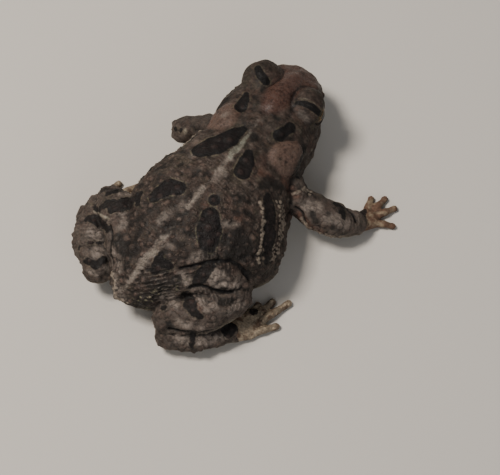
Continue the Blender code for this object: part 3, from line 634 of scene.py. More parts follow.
# %% Crisp dark spots of the back
SPOTS = dict(
    lid_left=((257.5, 68, 0.65), (261, 75.5, 0.9), (266, 82, 0.8)),
    lid_right=((297, 102.5, 0.35), (304, 103.5, 0.6), (312, 107, 0.7), (320, 113, 0.6)),
    nape_left=((246, 94, 0.6), (243.6, 101, 1.25), (240.6, 107.5, 1.25)),
    nape_right=((291, 127, 1.05), (286, 131, 0.95), (278.5, 135.5, 1.2)),
    shoulder_left=((243, 130, 0.85), (237, 132, 1.3), (228, 138, 2.1), (215, 145, 2.6),
                   (202, 150, 2.05)),
    shoulder_right=((248.5, 153, 0.75), (247, 162, 1.5), (242.5, 172, 1.65)),
    back_left=((178.5, 188, 1.4), (169, 187, 1.75), (155, 196, 1.25)),
    back_small=((214.5, 200, 1.1),),
    back_right=((210, 216, 1.65), (209, 230, 2.35), (208.5, 241, 1.9), (211, 249, 0.75)),
)

# %% Soft dark blotches and painted fold shade, limb bars, pale marks and the stripe
BLOTCHES_AND_FOLD_SHADE = (
    ((118, 240, 1.4), (125, 249, 1.6), (134, 251, 1.1)),
    ((165, 252, 0.75), (164, 260, 1.3), (166, 267, 1.3), (154, 271, 0.95)),
    # painted shade: the dark boundary between the left thigh and the back
    ((142, 227, 0.65), (135, 240, 0.55), (129, 256, 0.75), (126, 268, 0.55)),
    ((222, 238, 1.2), (236, 246, 1.4), (248, 250, 0.95)), ((228, 256, 1), (246, 257, 1)),
    ((206, 254, 0.75), (216, 258, 0.75)), ((99, 193, 0.6), (108, 189, 0.65), (120, 191, 0.55)),
    ((149, 211, 0.75),), ((165, 225, 0.65), (176, 224, 0.55)), ((171, 241, 0.55), (182, 246, 0.5)),
    ((240, 199, 0.85), (249, 202, 0.55)), ((192, 176, 0.5), (200, 172, 0.45)),
    ((262, 186, 0.95), (268, 178, 0.75), (276, 184, 0.75)), ((232, 197, 0.45),),
    ((254.5, 136.5, 0.8), (253, 140, 0.6)), ((162, 167, 0.8), (157, 169, 0.6)),
    ((270, 184, 1.1), (262, 187, 0.7), (281, 187, 0.75)),
    ((304, 148, 0.9), (300, 164, 1), (295, 175, 0.9)), ((266, 82, 0.35), (262, 92, 0.4)),
    ((296, 100, 0.3), (291, 112, 0.4)), ((254, 96, 0.4), (259, 104, 0.3)),
    ((297, 70, 0.3), (304, 74, 0.3)), ((312, 213, 0.6), (316, 220, 0.65)), ((328, 213, 0.55),),
    ((333, 227, 0.5),), ((272, 115, 0.5), (279, 120, 0.4)), ((285, 150, 0.25),), ((280, 158, 0.3),),
    ((286, 162, 0.3),), ((292, 157, 0.25),), ((217, 112, 0.3),), ((220, 112, 0.25),),
    ((237, 213, 0.9),), ((240, 235, 1.5), (247, 246, 0.9)), ((229, 240, 0.6), (243, 255, 0.8)),
    ((143, 216, 0.7), (131, 224, 0.75)), ((146, 223, 0.55),), ((198, 173, 0.65),),
    ((258, 189, 0.45),), ((150, 284, 0.95), (165, 286, 1.1), (177, 280, 0.95)),
    ((137, 303, 0.75), (146, 303, 0.65)), ((168, 323, 0.65), (172, 328, 0.55)),
    ((222, 303, 0.9), (232, 300, 0.65)), ((187, 213, 0.5), (178, 216, 0.55)),
    ((186, 232, 0.65), (193, 234, 0.5)), ((231, 222, 0.55),), ((217, 262, 0.65),),
    ((246, 270, 0.75), (251, 277, 0.65)), ((226, 99, 0.9), (9, -10.4, 10.6, 1)), ((184, 151, 0.9),),
    ((181, 165, 0.7),), ((140, 185, 0.9),), ((239, 195, 0.55),), ((228, 272, 0.65),),
    # the second path here is painted shade in the fold between the right thigh and the shank
    ((165, 233, 0.55), (174, 229, 0.5)), ((222, 288, 0.5), (231, 291, 0.65), (238, 286, 0.5)),
    ((243, 212, 0.55), (252, 216, 0.55)), ((200, 232, 0.55), (206, 240, 0.5)),
)
BARS = (
    ((305, 149, 0.45), (302, 160, 0.6), (299, 168, 0.6), (297, 177, 0.5)),
    ((161, 255, 0.6), (158, 263, 1), (155, 270, 0.95)), ((162, 262, 0.85), (170, 266, 0.8)),
    ((100, 208, 0.7), (108, 203, 0.85), (118, 204, 0.85), (128, 201, 1), (136, 199, 0.8)),
    ((141, 194, 0.6), (138, 204, 0.55)),
    ((268, 200, 1.25), (271, 213, 1.55), (270, 228, 1.65), (268, 245, 1.55), (266, 260, 0.9)),
    ((190, 139, 0.9), (9.4, 4.2, 13.9, 1.2), (10.2, 10, 13.4, 1.2)),
    ((198, 282, 1.05), (203, 274, 1.35), (210, 265, 1)),
    ((186, 294, 1.05), (190, 304, 1.3), (194, 312, 0.85), (201, 317, 0.45)), ((164, 308, 0.65),),
    ((193, 334, 0.6), (192, 344, 0.5), (192, 348, 0.15)), ((228, 331, 1.4), (234, 326, 0.95)),
    ((254, 312, 0.8),), ((279, 310, 0.1),),
    ((112, 208, 1.1), (121, 206, 1.25), (132, 202, 1.2), (136, 195, 0.7)),
    ((115, 191, 0.65), (108, 194, 0.6)), ((97, 209, 0.55), (16.6, 19.4, 8.6, 0.7)),
    ((88, 218, 0.8), (98, 221, 1.1), (106, 228, 0.9)), ((89, 243, 0.3), (104, 242.5, 0.3)),
    ((79, 248, 0.4),), ((88, 261, 0.7), (95, 266, 0.65), (104, 260, 0.75)),
    ((337, 204, 0.75), (342, 211, 0.9), (344, 217, 0.5)), ((363, 210, 0.7), (-25.6, -12.7, 3.2, 0.8)),
    ((181, 131, 0.5),), ((176, 129, 0.45),),
)
PALE = (
    ((95, 212, 0.2), (103, 216, 0.2), (109, 219, 0.15)),
    ((298, 98.3, -0.05), (306, 99, -0.05), (314, 103, -0.05), (320, 108, -0.05)), ((186, 131, 0.45),),
    ((313, 149, 0.35),),
)
LIGHT = (
    ((183, 275, 0.95), (190, 284, 0.9)), ((176, 306, 0.55), (170, 298, 1.15)),
    ((215, 275, 1.2), (222, 284, 1.4), (230, 288, 1.1), (238, 284, 0.75)),
    ((195, 293, 0.4), (200, 301, 0.6), (206, 309, 0.75), (215, 305, 0.75)),
    ((228, 312, 0.9), (240, 304, 0.85)), ((178, 322, 0.6), (190, 325, 0.8), (202, 327, 0.6)),
    ((177, 338, 0.75), (189, 342, 0.65)), ((114, 250, 0.5), (118, 262, 0.55), (121, 272, 0.5)),
    ((199, 341, 0.85), (212, 340, 0.85), (226, 336, 0.65)), ((97, 252, 1.05), (104, 250, 0.75)),
    ((122, 213, 0.6), (126, 223, 0.5)), ((92, 232, 0.85), (102, 238, 0.85)),
    ((88, 271, 0.55), (98, 274, 0.55), (106, 270, 0.45)), ((128, 195, 0.65), (121, 195, 0.5)),
    ((305, 206, 1.3), (316, 207, 1.5)), ((327, 218, 1.35), (336, 219, 1.2), (345, 224, 1.2)),
)
HAZE = (
    ((218, 278, 1.65), (222, 288, 1.1)), ((170, 298, 1.5),), ((122, 226, 0.75),),
    ((114, 278, 1.2), (117, 287, 1.3), (122, 298, 1.1)), ((182, 205, 0.6),),
    ((222, 172, 0.75), (214, 180, 0.5)), ((224, 224, 0.45), (236, 224, 0.55)),
    ((196, 258, 1.1), (208, 255, 0.65)), ((170, 245, 0.8),), ((169, 213, 0.6), (160, 222, 0.6)),
    ((225, 115, 0.7),), ((262, 120, 0.35),), ((308, 120, 0.75), (300, 113, 0.4)), ((194, 155, 0.6),),
    ((6.6, -0.4, 16.8, 0.6),),
)
ROSE = (
    ((284, 182, 0.9), (290, 188, 1), (296, 196, 0.7)), ((238, 218, 0.65),),
    ((262, 172, 0.65), (272, 180, 0.55)), ((216, 113, 0.8), (208, 124, 0.7)),
    ((300, 214, 0.7), (308, 224, 0.7), (320, 232, 0.65)), ((205, 205, 0.55),),
    ((192, 300, 0.55), (200, 308, 0.55)),
)
CRISP = (
    ((250, 133, 0.15), (245, 139, 0.4), (240, 146, 0.6), (234, 152, 0.7), (230, 157, 0.45)),
)
SCALES = (
    ((140, 300, 1.1), (152, 296, 1.3), (164, 290, 1.1)), ((134, 305, 0.65), (146, 310, 0.65)),
    ((176, 286, 0.65), (184, 279, 0.65)),
)
STRIPE = (
    ((259, 121, 0.35), (252, 129, 0.25), (246, 137, 0.2), (240, 148, 0.3), (229, 158, 0.7),
     (220, 169, 0.65), (210, 180, 0.1), (201, 190, 0.7), (190, 205, 0.7), (177, 222, 0.1),
     (165, 237, 0.8), (152, 252, 1), (141, 266, 0.85), (131, 280, 0.7), (124, 290, 0.55)),
)
BEAD_LINES = (
    ((259, 200), (261, 208), (262, 218), (263, 228), (261, 239), (259, 251), (258, 262)),
    ((285, 209), (285, 215), (284, 222), (282, 230), (281, 240)),
    ((291, 195), (299, 192), (305, 189), (311, 193)),
    ((302, 216), (308, 226), (317, 231), (330, 236), (342, 237)),
    ((112, 270), (115, 283), (117, 296), (126, 303)),
)
HIDDEN_BEAD_LINES = (
    ((8, -4.6, 13.4), (9.4, 1, 13), (10.9, 7.4, 12), (11.2, 12.6, 11.4)),
    ((9.6, -2.6, 10.6), (10.6, 4.2, 9.6), (11.4, 9.4, 9)),
)
BEAD_BAND = ((277, 203), (281, 212), (282, 222), (281, 232), (279, 242), (276, 252), (272, 260))
CREASES = (
    ((181, 269, 0.1), (190, 267, 0.1), (200, 264, 0.15), (210, 261.5, 0.15), (220, 261, 0.2),
     (231, 262, 0.2), (239, 266, 0.2), (244, 272, 0.25), (250, 279, 0.25)),
    ((190, 287, 0.15), (200, 286, 0.2), (208, 287.5, 0.15), (214, 291, 0.1), (223, 292.5, 0.1),
     (232, 291.5, 0.1)),
    ((169, 329, 0.1), (180, 331, 0.15), (190, 332, 0.15), (200, 333, 0.2), (212, 330, 0.15),
     (222, 327, 0.1), (-18.7, 21.6, 5.8, 0.1)),
    ((110, 226, 0.1), (111.5, 240, 0.15), (110, 255, 0.2), (111, 268, 0.25)),
    ((296, 207, 0.05), (302, 213, 0.1), (306, 222, 0.05)),
    ((348, 208, 0.05), (354, 213, 0.1), (356, 222, 0.05)),
)


def outside(points, path):
    """Distance to a chain of straight, tapering capsules, less their radius: for each stretch the
    nearest share t = clip((p - a).(b - a) / |b - a|^2, 0, 1)."""
    path = np.atleast_2d(np.asarray(path, float))
    path = np.vstack([path, path[-1]]) if len(path) == 1 else path
    best = np.full(len(points), 99.0)
    for a, b in zip(path[:-1], path[1:]):
        run = b[:3] - a[:3]
        t = np.clip((points - a[:3]) @ run / max(run @ run, 1e-9), 0, 1)
        gap = np.linalg.norm(points - a[:3] - t[:, None] * run, axis=1) - (a[3] + t * (b[3] - a[3]))
        best = np.minimum(best, gap)
    return best


def laid(path):
    """The path with every photo place replaced by the place on the skin."""
    return [(*on_skin(*place[:2]), place[2]) if len(place) == 3 else place for place in path]


def nearest_of(paths):
    return np.min([outside(base, laid(path)) for path in paths], axis=0)


spot_mm, blotch_and_shade_mm, bar_mm = nearest_of(SPOTS.values()), nearest_of(BLOTCHES_AND_FOLD_SHADE), nearest_of(BARS)
pale_mm, haze_mm, stripe_mm = nearest_of(PALE), nearest_of(HAZE), nearest_of(STRIPE)
rose_mm = nearest_of(ROSE)
light_mm, crisp_mm = nearest_of(LIGHT), nearest_of(CRISP)
scale_mm, crease_mm = nearest_of(SCALES), nearest_of(CREASES)
print("skin under dark spots:", round(100 * float((spot_mm < 0).mean()), 1), "percent of points")

# %% [markdown]
# ## Shares of the skin
# Some places differ in kind: the glands and the boss are smooth and reddish, the digits thin, the
# limbs greyer, the underside pale, the rump and the flanks rough. Each share runs from 0 to 1 over
# the skin, and both the warts and the paint below read it.

# %% Shares of glands, boss, snout, digits, underside, flank and rump
def in_egg(centre, radii, lean, splay):
    """How far out each point is, in units of an egg's radii."""
    return np.linalg.norm((base - centre) @ turned(lean, splay) / radii, axis=1)


FEET_AND_HANDS = ((-20.9, 15.6, 7.0), (-27.6, -15.4, 5.0), (7.8, -17.6, 4.6), (14.8, 12.2, 7.6))
x, y, z = base.T
gland_share = 1 - step(np.minimum(in_egg(*gland(1)), in_egg(*gland(-1))), 0.9, 1.12)
boss_gap = outside(base, np.column_stack([boss_path, np.array(BOSS_WIDTH) * 0.95]))
boss_share = (1 - step(boss_gap, -0.1, 1.2)) * step(base_normals[:, 2], 0.0, 0.4)
lid_share = 1 - step(np.minimum(*[np.linalg.norm((base - eye_centre(side)) / LID_RADII, axis=1)
                                  for side in (1, -1)]), 1.02, 1.22)
snout_share = (1 - step(y, -23.5, -19.5)) * (1 - step(abs(x - middle_at(-25)), 3.0, 6.5))
snout_share = snout_share * step(z, 7.5, 10.5) * (1 - lid_share)
head_part = (1 - step(y, -15.0, -10.0)) * step(z, 3.0, 5.0) * (1 - step(abs(x), 11.5, 13.0))
upper = step(base_normals[:, 2], -0.35, 0.15)
under = (1 - step(base_normals[:, 2], -0.70, 0.05)) * (1 - step(z, 4.5, 8.5))
digits = np.zeros(len(base))
for centre_x, centre_y, reach in FEET_AND_HANDS:
    near = np.hypot(x - centre_x, y - centre_y) < reach
    digits = np.maximum(digits, near * (1 - step(z, 2.6, 3.6)))
rear = step(y, -4.0, 14.0)
rump = step(y, 22.0, 28.0) * step(z, 4.0, 6.0)
flank = step(abs(x - along(MIDDLE_LINE, y)), 8.0, 12.0) * step(y, -8.0, -3.0)
scales = 1 - step(scale_mm, -0.3, 0.5)
limb_gap = np.full(len(base), 9.0)
for leg, arm in ((LEG, ARMS["right"]), (leg_left, ARMS["left"])):
    for path, wide, tall in [*leg.values(), arm["upper_arm"], arm["forearm"]]:
        path = np.column_stack([path, (np.array(wide) + tall) / 2])
        limb_gap = np.minimum(limb_gap, outside(base, path))
limb = 1 - step(limb_gap, 0.2, 1.0)
head_dark = (1 - step(y, -9.0, 1.0)) * step(z, 4.0, 8.0)
head_dark = head_dark * (1 - np.maximum.reduce([boss_share, snout_share, gland_share]))
smooth_skin = gland_share + boss_share + snout_share + 0.8 * lid_share + digits + under
smooth_skin = np.clip(smooth_skin + (window < 1.5), 0, 1)
print("smooth skin:", round(100 * float((smooth_skin > 0.5).mean())), "percent of points")

# %% [markdown]
# ## Warts and granules
# The skin is rough at three sizes. Large warts stand in and near the dark spots: some are given by
# x, y and radius, and the topmost skin over x and y carries them, and some are read in the photo.
# Lesser ones are scattered, thinly on the shoulders and thickly on rump, flank and legs. Between
# them lie granules like coarse sand. The first two are domes, (1 - (r / R)^2)^2 high, at places
# kept apart. The granules come from a jittered lattice: each cell has one seed, and a point's
# height depends on how near its nearest seed is. That gives thousands of them without a loop.

# %% Raise the warts
SPOT_WARTS = (
    (2.2, -1.2, 1.15), (0.8, -4.6, 1.0), (-4.6, -2.6, 0.9), (-5.4, 0.2, 1.15), (4.2, 13.6, 1.0),
    (2.2, 10.8, 0.9), (-5.2, 8.6, 0.85), (-6.2, 11.2, 0.95), (-7.8, 13.6, 1.1), (-9.3, 15.7, 1.0),
    (2.9, 24.0, 1.1), (5.2, 23.0, 0.9), (-4.4, 21.8, 1.0), (-3.9, 24.4, 0.9), (4.1, -12.6, 0.7),
    (-6.1, -12.4, 0.7), (-11.4, 24.6, 0.9), (-9.0, 1.4, 0.7), (-8.2, 5.4, 0.7), (-10.3, 6.6, 0.75),
    (3.6, 3.0, 0.8))
PHOTO_WARTS = ((229, 265, 0.6), (249.5, 260.5, 0.65), (232, 245, 0.6), (220, 251, 0.6),
               (202, 172, 0.65), (200, 186, 0.75), (177, 220, 0.65), (187, 231, 0.7))
WART_STEEPNESS = 0.30
LESSER_WARTS, LESSER_TRIES, LESSER_CROWDING = 400, 16000, 1.06
LESSER_RADII, LESSER_STEEPNESS = (0.40, 0.85), (0.32, 0.48)
STRIPE_PADS = ((131, 276.5, 0.6), (134, 282, 0.65), (127.5, 281, 0.6), (143, 269, 0.55),
               (130, 289, 0.5), (124, 288, 0.45), (146, 262.5, 0.4), (120, 300, 0.5))
PAD_SHIFTS, PAD_NARROWING, PAD_STEEPNESS = (-1.1, -0.55, 0.0, 0.55, 1.1), 0.8, 0.36
LATTICE_KEYS = np.array([[127.1, 311.7, 74.7], [269.5, 183.3, 246.1], [113.5, 271.9, 124.6],
                         [57.3, 17.9, 91.1]])


def lattice(points, cell, seed, jitter=0.8):
    """Distance to the nearest seed and that seed's random number, in a lattice of cubic cells.
    A hash of the cell's whole numbers moves the seed in it: frac(sin(cell . k) * 43758.5)."""
    home = np.floor(points / cell)
    best = np.full(len(points), 9.0)
    chance = np.zeros(len(points))
    for offset in np.stack(np.meshgrid(*[(-1, 0, 1)] * 3, indexing="ij"), -1).reshape(-1, 3):
        here = home + offset
        draw = np.sin(here @ LATTICE_KEYS.T + seed * 3.7) * 43758.5453
        draw = draw - np.floor(draw)
        place = (here + 0.5 + (draw[:, :3] - 0.5) * jitter) * cell
        gap = np.linalg.norm(points - place, axis=1)
        nearer = gap < best
        best = np.where(nearer, gap, best)
        chance = np.where(nearer, draw[:, 3], chance)
    return best, chance


def domes(places):
    """Height, share and ring of domes (x, y, z, radius, rise): rise * (1 - (r / radius)^2)^2, and
    a bell curve about r = radius for the ring."""
    height, share, ring = np.zeros((3, len(base)))
    for *place, radius, rise in places:
        near = np.flatnonzero(abs(base - place).max(axis=1) < 1.4 * radius)
        r = np.linalg.norm(base[near] - place, axis=1) / radius
        dome = np.where(r < 1, (1 - r * r) ** 2, 0)
        height[near] = np.maximum(height[near], rise * dome)
        share[near] = np.maximum(share[near], dome)
        ring[near] = np.maximum(ring[near], bell(r - 1.0, 0.24))
    return height, share, ring * (1 - step(share, 0.05, 0.25))


order = np.argsort(-z)
large = []
photo_warts = [(*on_skin(across, down)[:2], radius) for across, down, radius in PHOTO_WARTS]
for wart_x, wart_y, radius in (*SPOT_WARTS, *photo_warts):
    over = order[np.hypot(x[order] - wart_x, y[order] - wart_y) < 0.4]
    large.append((*base[over[0]], radius, WART_STEEPNESS * radius))
large = np.array(large)
likely = (upper > 0.5) * (smooth_skin < 0.3) * (z > 2.5)
likely = likely * (0.12 + 0.88 * np.maximum(rear, flank)) * (1 - 0.8 * head_part)
candidates = rng.choice(len(base), LESSER_TRIES, replace=False, p=likely / likely.sum())
medium = large.copy()
for i in candidates:
    radius = rng.uniform(*LESSER_RADII)
    gaps = np.linalg.norm(medium[:, :3] - base[i], axis=1)
    if (gaps > (medium[:, 3] + radius) * LESSER_CROWDING).all():
        medium = np.vstack([medium, (*base[i], radius, radius * rng.uniform(*LESSER_STEEPNESS))])
    if len(medium) == LESSER_WARTS + len(large):
        break
medium = medium[len(large):]
large_height, large_share, large_ring = domes(large)
medium_height, medium_share, medium_ring = domes(medium)
print(len(large), "large warts,", len(medium), "lesser warts")


# %% [markdown]
# ## Beaded lines and rough rump
# Along the flank run pale lines of beads, the rump and the outer arm carry rows of pale pimples,
# and the stripe ends in a few swollen pads. Beads are tried at uneven steps along and beside their
# lines and kept where they don't crowd another, as berries lie in a string; a belt low on the
# flank has them strewn wider. The granules grow rougher from the back down to flank and rump.

# %% Beads and granules
BEAD_STEP, BEAD_STEEPNESS = 0.5, 0.5
BEAD_ROW = dict(tries=8, spread=0.17, radius=0.58, apart=0.52)
BEAD_BELT = dict(tries=16, spread=0.45, radius=0.50, apart=0.68)
FINE_CELL, COARSE_CELL, PEBBLE_CELL = 0.95, 1.5, 0.84


def beads(path, spacing, radius, spread):
    """Places at steps along a path, each moved to the nearest point of the skin."""
    path = np.asarray(path, float)
    length = np.concatenate([[0], np.cumsum(np.linalg.norm(np.diff(path, axis=0), axis=1))])
    at = np.cumsum(rng.uniform(0.75, 1.25, int(length[-1] / spacing)) * spacing)
    places = np.stack([np.interp(at, length, column) for column in path.T], axis=1)
    places = places + rng.normal(0, spread, places.shape)
    near = np.array([np.argmin(np.linalg.norm(base - place, axis=1)) for place in places])
    radii = radius * rng.uniform(0.7, 1.2, len(near))
    return np.column_stack([base[near], radii, radii * BEAD_STEEPNESS])


def strewn(path, tries, spread, radius, apart):
    """Beads at random along and beside a path, none nearer to another than a share, apart, of the
    sum of their radii."""
    chosen = np.zeros((0, 5))
    tried = np.vstack([beads(path, BEAD_STEP, radius, spread) for _ in range(tries)])
    for bead in tried:
        gaps = np.linalg.norm(chosen[:, :3] - bead[:3], axis=1)
        if (gaps > apart * (chosen[:, 3] + bead[3])).all():
            chosen = np.vstack([chosen, bead])
    return chosen


bead_lines = [[on_skin(*place) for place in path] for path in BEAD_LINES]
bead_band = [on_skin(*place) for place in BEAD_BAND]
bead_rows = [strewn(path, **BEAD_ROW) for path in (*bead_lines, *HIDDEN_BEAD_LINES)]
bead_places = np.vstack([*bead_rows, strewn(bead_band, **BEAD_BELT)])
pads = np.array([(*(on_skin(across, down) + (shift * radius, 0, 0)), PAD_NARROWING * radius,
                  PAD_STEEPNESS * radius) for across, down, radius in STRIPE_PADS for shift in PAD_SHIFTS])
bead_height, bead_share, bead_ring = domes(bead_places)
pad_height, pad_share, pad_ring = domes(pads)
bead_ring = np.maximum(bead_ring, pad_ring)
fine_gap, fine_draw = lattice(base, FINE_CELL, 1)
coarse_gap, coarse_draw = lattice(base, COARSE_CELL, 2)
fine = step(1 - fine_gap / (0.30 + 0.24 * fine_draw), 0, 1)
coarse = step(1 - coarse_gap / (0.46 + 0.42 * coarse_draw), 0, 1) * (coarse_draw > 0.3)
pebble_gap, pebble_draw = lattice(base, PEBBLE_CELL, 3)
pebble = step(1 - pebble_gap / (0.28 + 0.20 * pebble_draw), 0, 1)
rough = np.clip(0.42 + 0.45 * rear + 0.45 * rump + 0.45 * flank, 0, 1.3) * (1 - 0.9 * smooth_skin)
granule_height = rough * (0.13 * fine + 0.25 * coarse) + 0.10 * scales * fine
pebble_rise = 0.075 - 0.05 * np.maximum(boss_share, snout_share)
granule_height = granule_height + pebble * head_part * (window > 1.4) * pebble_rise
granule_share = np.clip(np.maximum(fine * 0.5, coarse), 0, 1)
height = np.maximum.reduce([large_height, medium_height * (1 - smooth_skin), bead_height, pad_height])
height = height + granule_height * (1 - 0.7 * np.maximum(large_share, medium_share))
print("beads", len(bead_places), "; tallest wart", round(float(height.max()), 2), "mm")

# %% [markdown]
# ## Folds
# Loose skin folds where a limb bends. The deep folds are grooves along the crease paths. Fine
# pleats fill the skin beside them: where they are is a share, and which way they run is a phase,
# the distance across them. Both are stored, so that the material can draw pleats finer than the
# net. The slow swelling of the sides is a sum of a few sine waves of the place itself, which is
# smooth, repeatable and costs one line.

# %% Grooves, pleats and swelling
def wobble(points, size, seed):
    """Sum of three sines of the place along fixed slanting directions, about -1 to 1."""
    ways = np.array([[0.80, 0.36, 0.48], [-0.42, 0.74, 0.53], [0.31, -0.58, 0.75]]) / size
    return np.sin(points @ ways.T * 2 * math.pi + seed * np.array([1.0, 2.3, 4.1])).mean(axis=1) * 1.6


PLEATS = (
    ((-5.4, 26.0, 12.6), (-6.0, -5.2, 2.4), 4.2, 1.0), ((5.2, 27.0, 10.6), (5.0, -4.6, 3.4), 3.4, 0.8),
    ((-9.2, 21.4, 14.4), (-6.0, -5.2, 2.0), 3.0, 0.7), ((-13.4, 24.2, 11.0), (-4.6, -3.0, -0.6), 4.6, 0.55),
    ((-17.6, 18.6, 10.0), (1.0, -4.0, 3.0), 3.2, 0.7), ((10.8, 24.6, 10.8), (3.6, -3.4, 0.8), 4.4, 0.5),
    ((-14.6, 28.4, 5.0), (-6.0, -5.0, -0.6), 3.4, 0.5), ((-25.0, -9.4, 6.0), (-3.0, 2.0, 0.4), 2.0, 0.8),
    ((-14.8, -6.2, 9.6), (1.0, -3.0, 0.5), 2.4, 0.6), ((-8.2, -17.0, 12.6), (-3.0, 0.6, -2.0), 2.6, 0.6),
    ((9.0, -17.0, 12.0), (3.0, 0.6, -2.0), 2.6, 0.6), ((14.6, 16.8, 11.0), (-1.0, -4.0, 3.0), 3.0, 0.6),
    ((-6.9, -18.6, 14.4), (-3.6, -0.7, -0.6), 1.8, 0.55), ((-9.6, 3.0, 18.0), (-3.0, 0.4, -1.0), 2.6, 0.35),
    ((-3.6, 4.6, 19.6), (-3.0, 0.8, 0.0), 2.4, 0.35), ((1.5, 19.0, 17.5), (-3.0, 0.5, 0.0), 2.6, 0.3),
)
LIMB_PLEATS, LIMB_PLEAT_REACH = dict(thigh=0.65, shank=0.75, tarsus=0.55), 3.4
PLEAT_RISE, PLEAT_SPACING = 0.045, 0.95
CREASE_DEPTH, CREASE_WIDTH, CREASE_WELT = 0.42, 0.30, 0.10


def pleats_of(leg):
    """For each length of a leg, pleats that run over its top, square to its path."""
    for name, strength in LIMB_PLEATS.items():
        path, _, tall = leg[name]
        forward = unit(np.asarray(path[2]) - path[0])
        yield np.add(path[1], (0, 0, tall[1])), np.cross(forward, WORLD_UP), LIMB_PLEAT_REACH, strength


pleat, second, phase = np.zeros((3, len(base)))
for centre, run, reach, strength in (*PLEATS, *pleats_of(LEG), *pleats_of(leg_left)):
    r = np.linalg.norm(base - centre, axis=1)
    share = strength * bell(r, reach)
    middle_normal = unit(base_normals[r < reach].mean(axis=0))
    across = unit(np.cross(middle_normal, unit(np.array(run))))
    second = np.maximum(second, np.minimum(pleat, share))
    phase = np.where(share > pleat, (base - centre) @ across, phase)
    pleat = np.maximum(pleat, share)
pleat = pleat * (1 - boss_share) * step(pleat - second, 0.01, 0.12)
groove = -CREASE_DEPTH * bell(np.maximum(crease_mm, 0), CREASE_WIDTH)
groove = groove + CREASE_WELT * bell(crease_mm - 0.9, 0.5)
puffs = np.sin(base @ np.array([0.9, 0.25, 1.3]) * 2 * math.pi / 2.6 + 2.0 * wobble(base, 5.0, 2.0))
swell = 0.16 * wobble(base, 4.2, 3.0) + 0.10 * wobble(base, 2.1, 5.0)
height = height * (1 - bell(np.maximum(crease_mm, 0), 0.4)) + groove
height = height + (0.035 * flank * puffs + swell * (1 - 0.75 * smooth_skin)) * (1 - 0.8 * digits)
waves = np.sin(phase * 2 * math.pi / PLEAT_SPACING + 1.2 * wobble(base, 3.0, 6.0))
height = height + PLEAT_RISE * pleat * waves

skin = base + base_normals * height[:, None]
skin[:, 2] = np.maximum(skin[:, 2], 0.02)
normals = normals_of(skin)
print("skin reaches", np.round(skin.min(axis=0), 1), np.round(skin.max(axis=0), 1), "mm")

# %% [markdown]
# ## The skin as an object
# The finished points go back into a mesh, in metres. Each measure that the material needs is
# stored beside them as a named attribute. How hollow a place is tells where the material paints
# shade: it is the pull towards the neighbours, measured along the normal and spread a little.

# %% Store the skin and its attributes
hollow = np.einsum("ij,ij->i", pull(skin), normals)[:, None]
for _ in range(2):
    hollow = hollow + 0.5 * pull(hollow)
hollow = np.clip(hollow[:, 0] / 0.035, -1, 1) * step(drum, 0.9, 1.3)
mouth_line = abs(skin[:, 2] - (MOUTH_FRONT_Z + slant * (skin[:, 1] - SNOUT_Y))) + (1 - in_mouth) * 9


def finished(name, points, faces, measures):
    """An object in metres, shaded smooth, with one float attribute for each measure."""
    made = object_of(name, points * MM, faces.tolist())
    made.data.shade_smooth()
    for key, values in measures.items():
        layer = made.data.attributes.new(key, "FLOAT", "POINT")
        layer.data.foreach_set("value", np.asarray(values, np.float32))
    return made


warts_share = np.maximum(large_share, medium_share * (1 - smooth_skin))
rings = [medium_ring * (1 - smooth_skin), large_ring * (1 - head_part), bead_ring]
toad = finished("toad_skin", skin, quads, dict(
    spot_mm=spot_mm, blotch_and_shade_mm=blotch_and_shade_mm, bar_mm=bar_mm, pale_mm=pale_mm, haze_mm=haze_mm,
    rose_mm=rose_mm, stripe_mm=stripe_mm, crease_mm=crease_mm, light_mm=light_mm, crisp_mm=crisp_mm,
    drum_mm=drum, mouth_mm=mouth_line, wart=warts_share, ring=np.maximum.reduce(rings),
    bead=np.maximum(bead_share, 0.24 * pad_share), granule=granule_share * (1 - smooth_skin),
    scale=scales, gland=gland_share, boss=np.maximum(boss_share, 0.85 * snout_share), head=head_dark,
    lid_fold=lid_fold, rim=window, pit=pits, limb=limb, digit=digits,
    toe=digits * step(y, 6.0, 10.0), under=under, low=(1 - step(z, 3.5, 8.0)) * (1 - digits) * (1 - limb),
    rear=rear * (1 - 0.75 * limb), hollow=hollow, pleat=pleat, phase=phase))
print(toad.name, len(toad.data.polygons) * 2, "triangles,", len(toad.data.attributes), "attributes")


# %% [markdown]
# ## Paint for the skin
# A material is a graph of nodes. Its helpers below keep that graph readable: one adds a node and
# plugs in its inputs, the others stand for the few operations used over and over. Noise in the
# object's own millimetres breaks up every edge, so that no spot looks like a sticker.

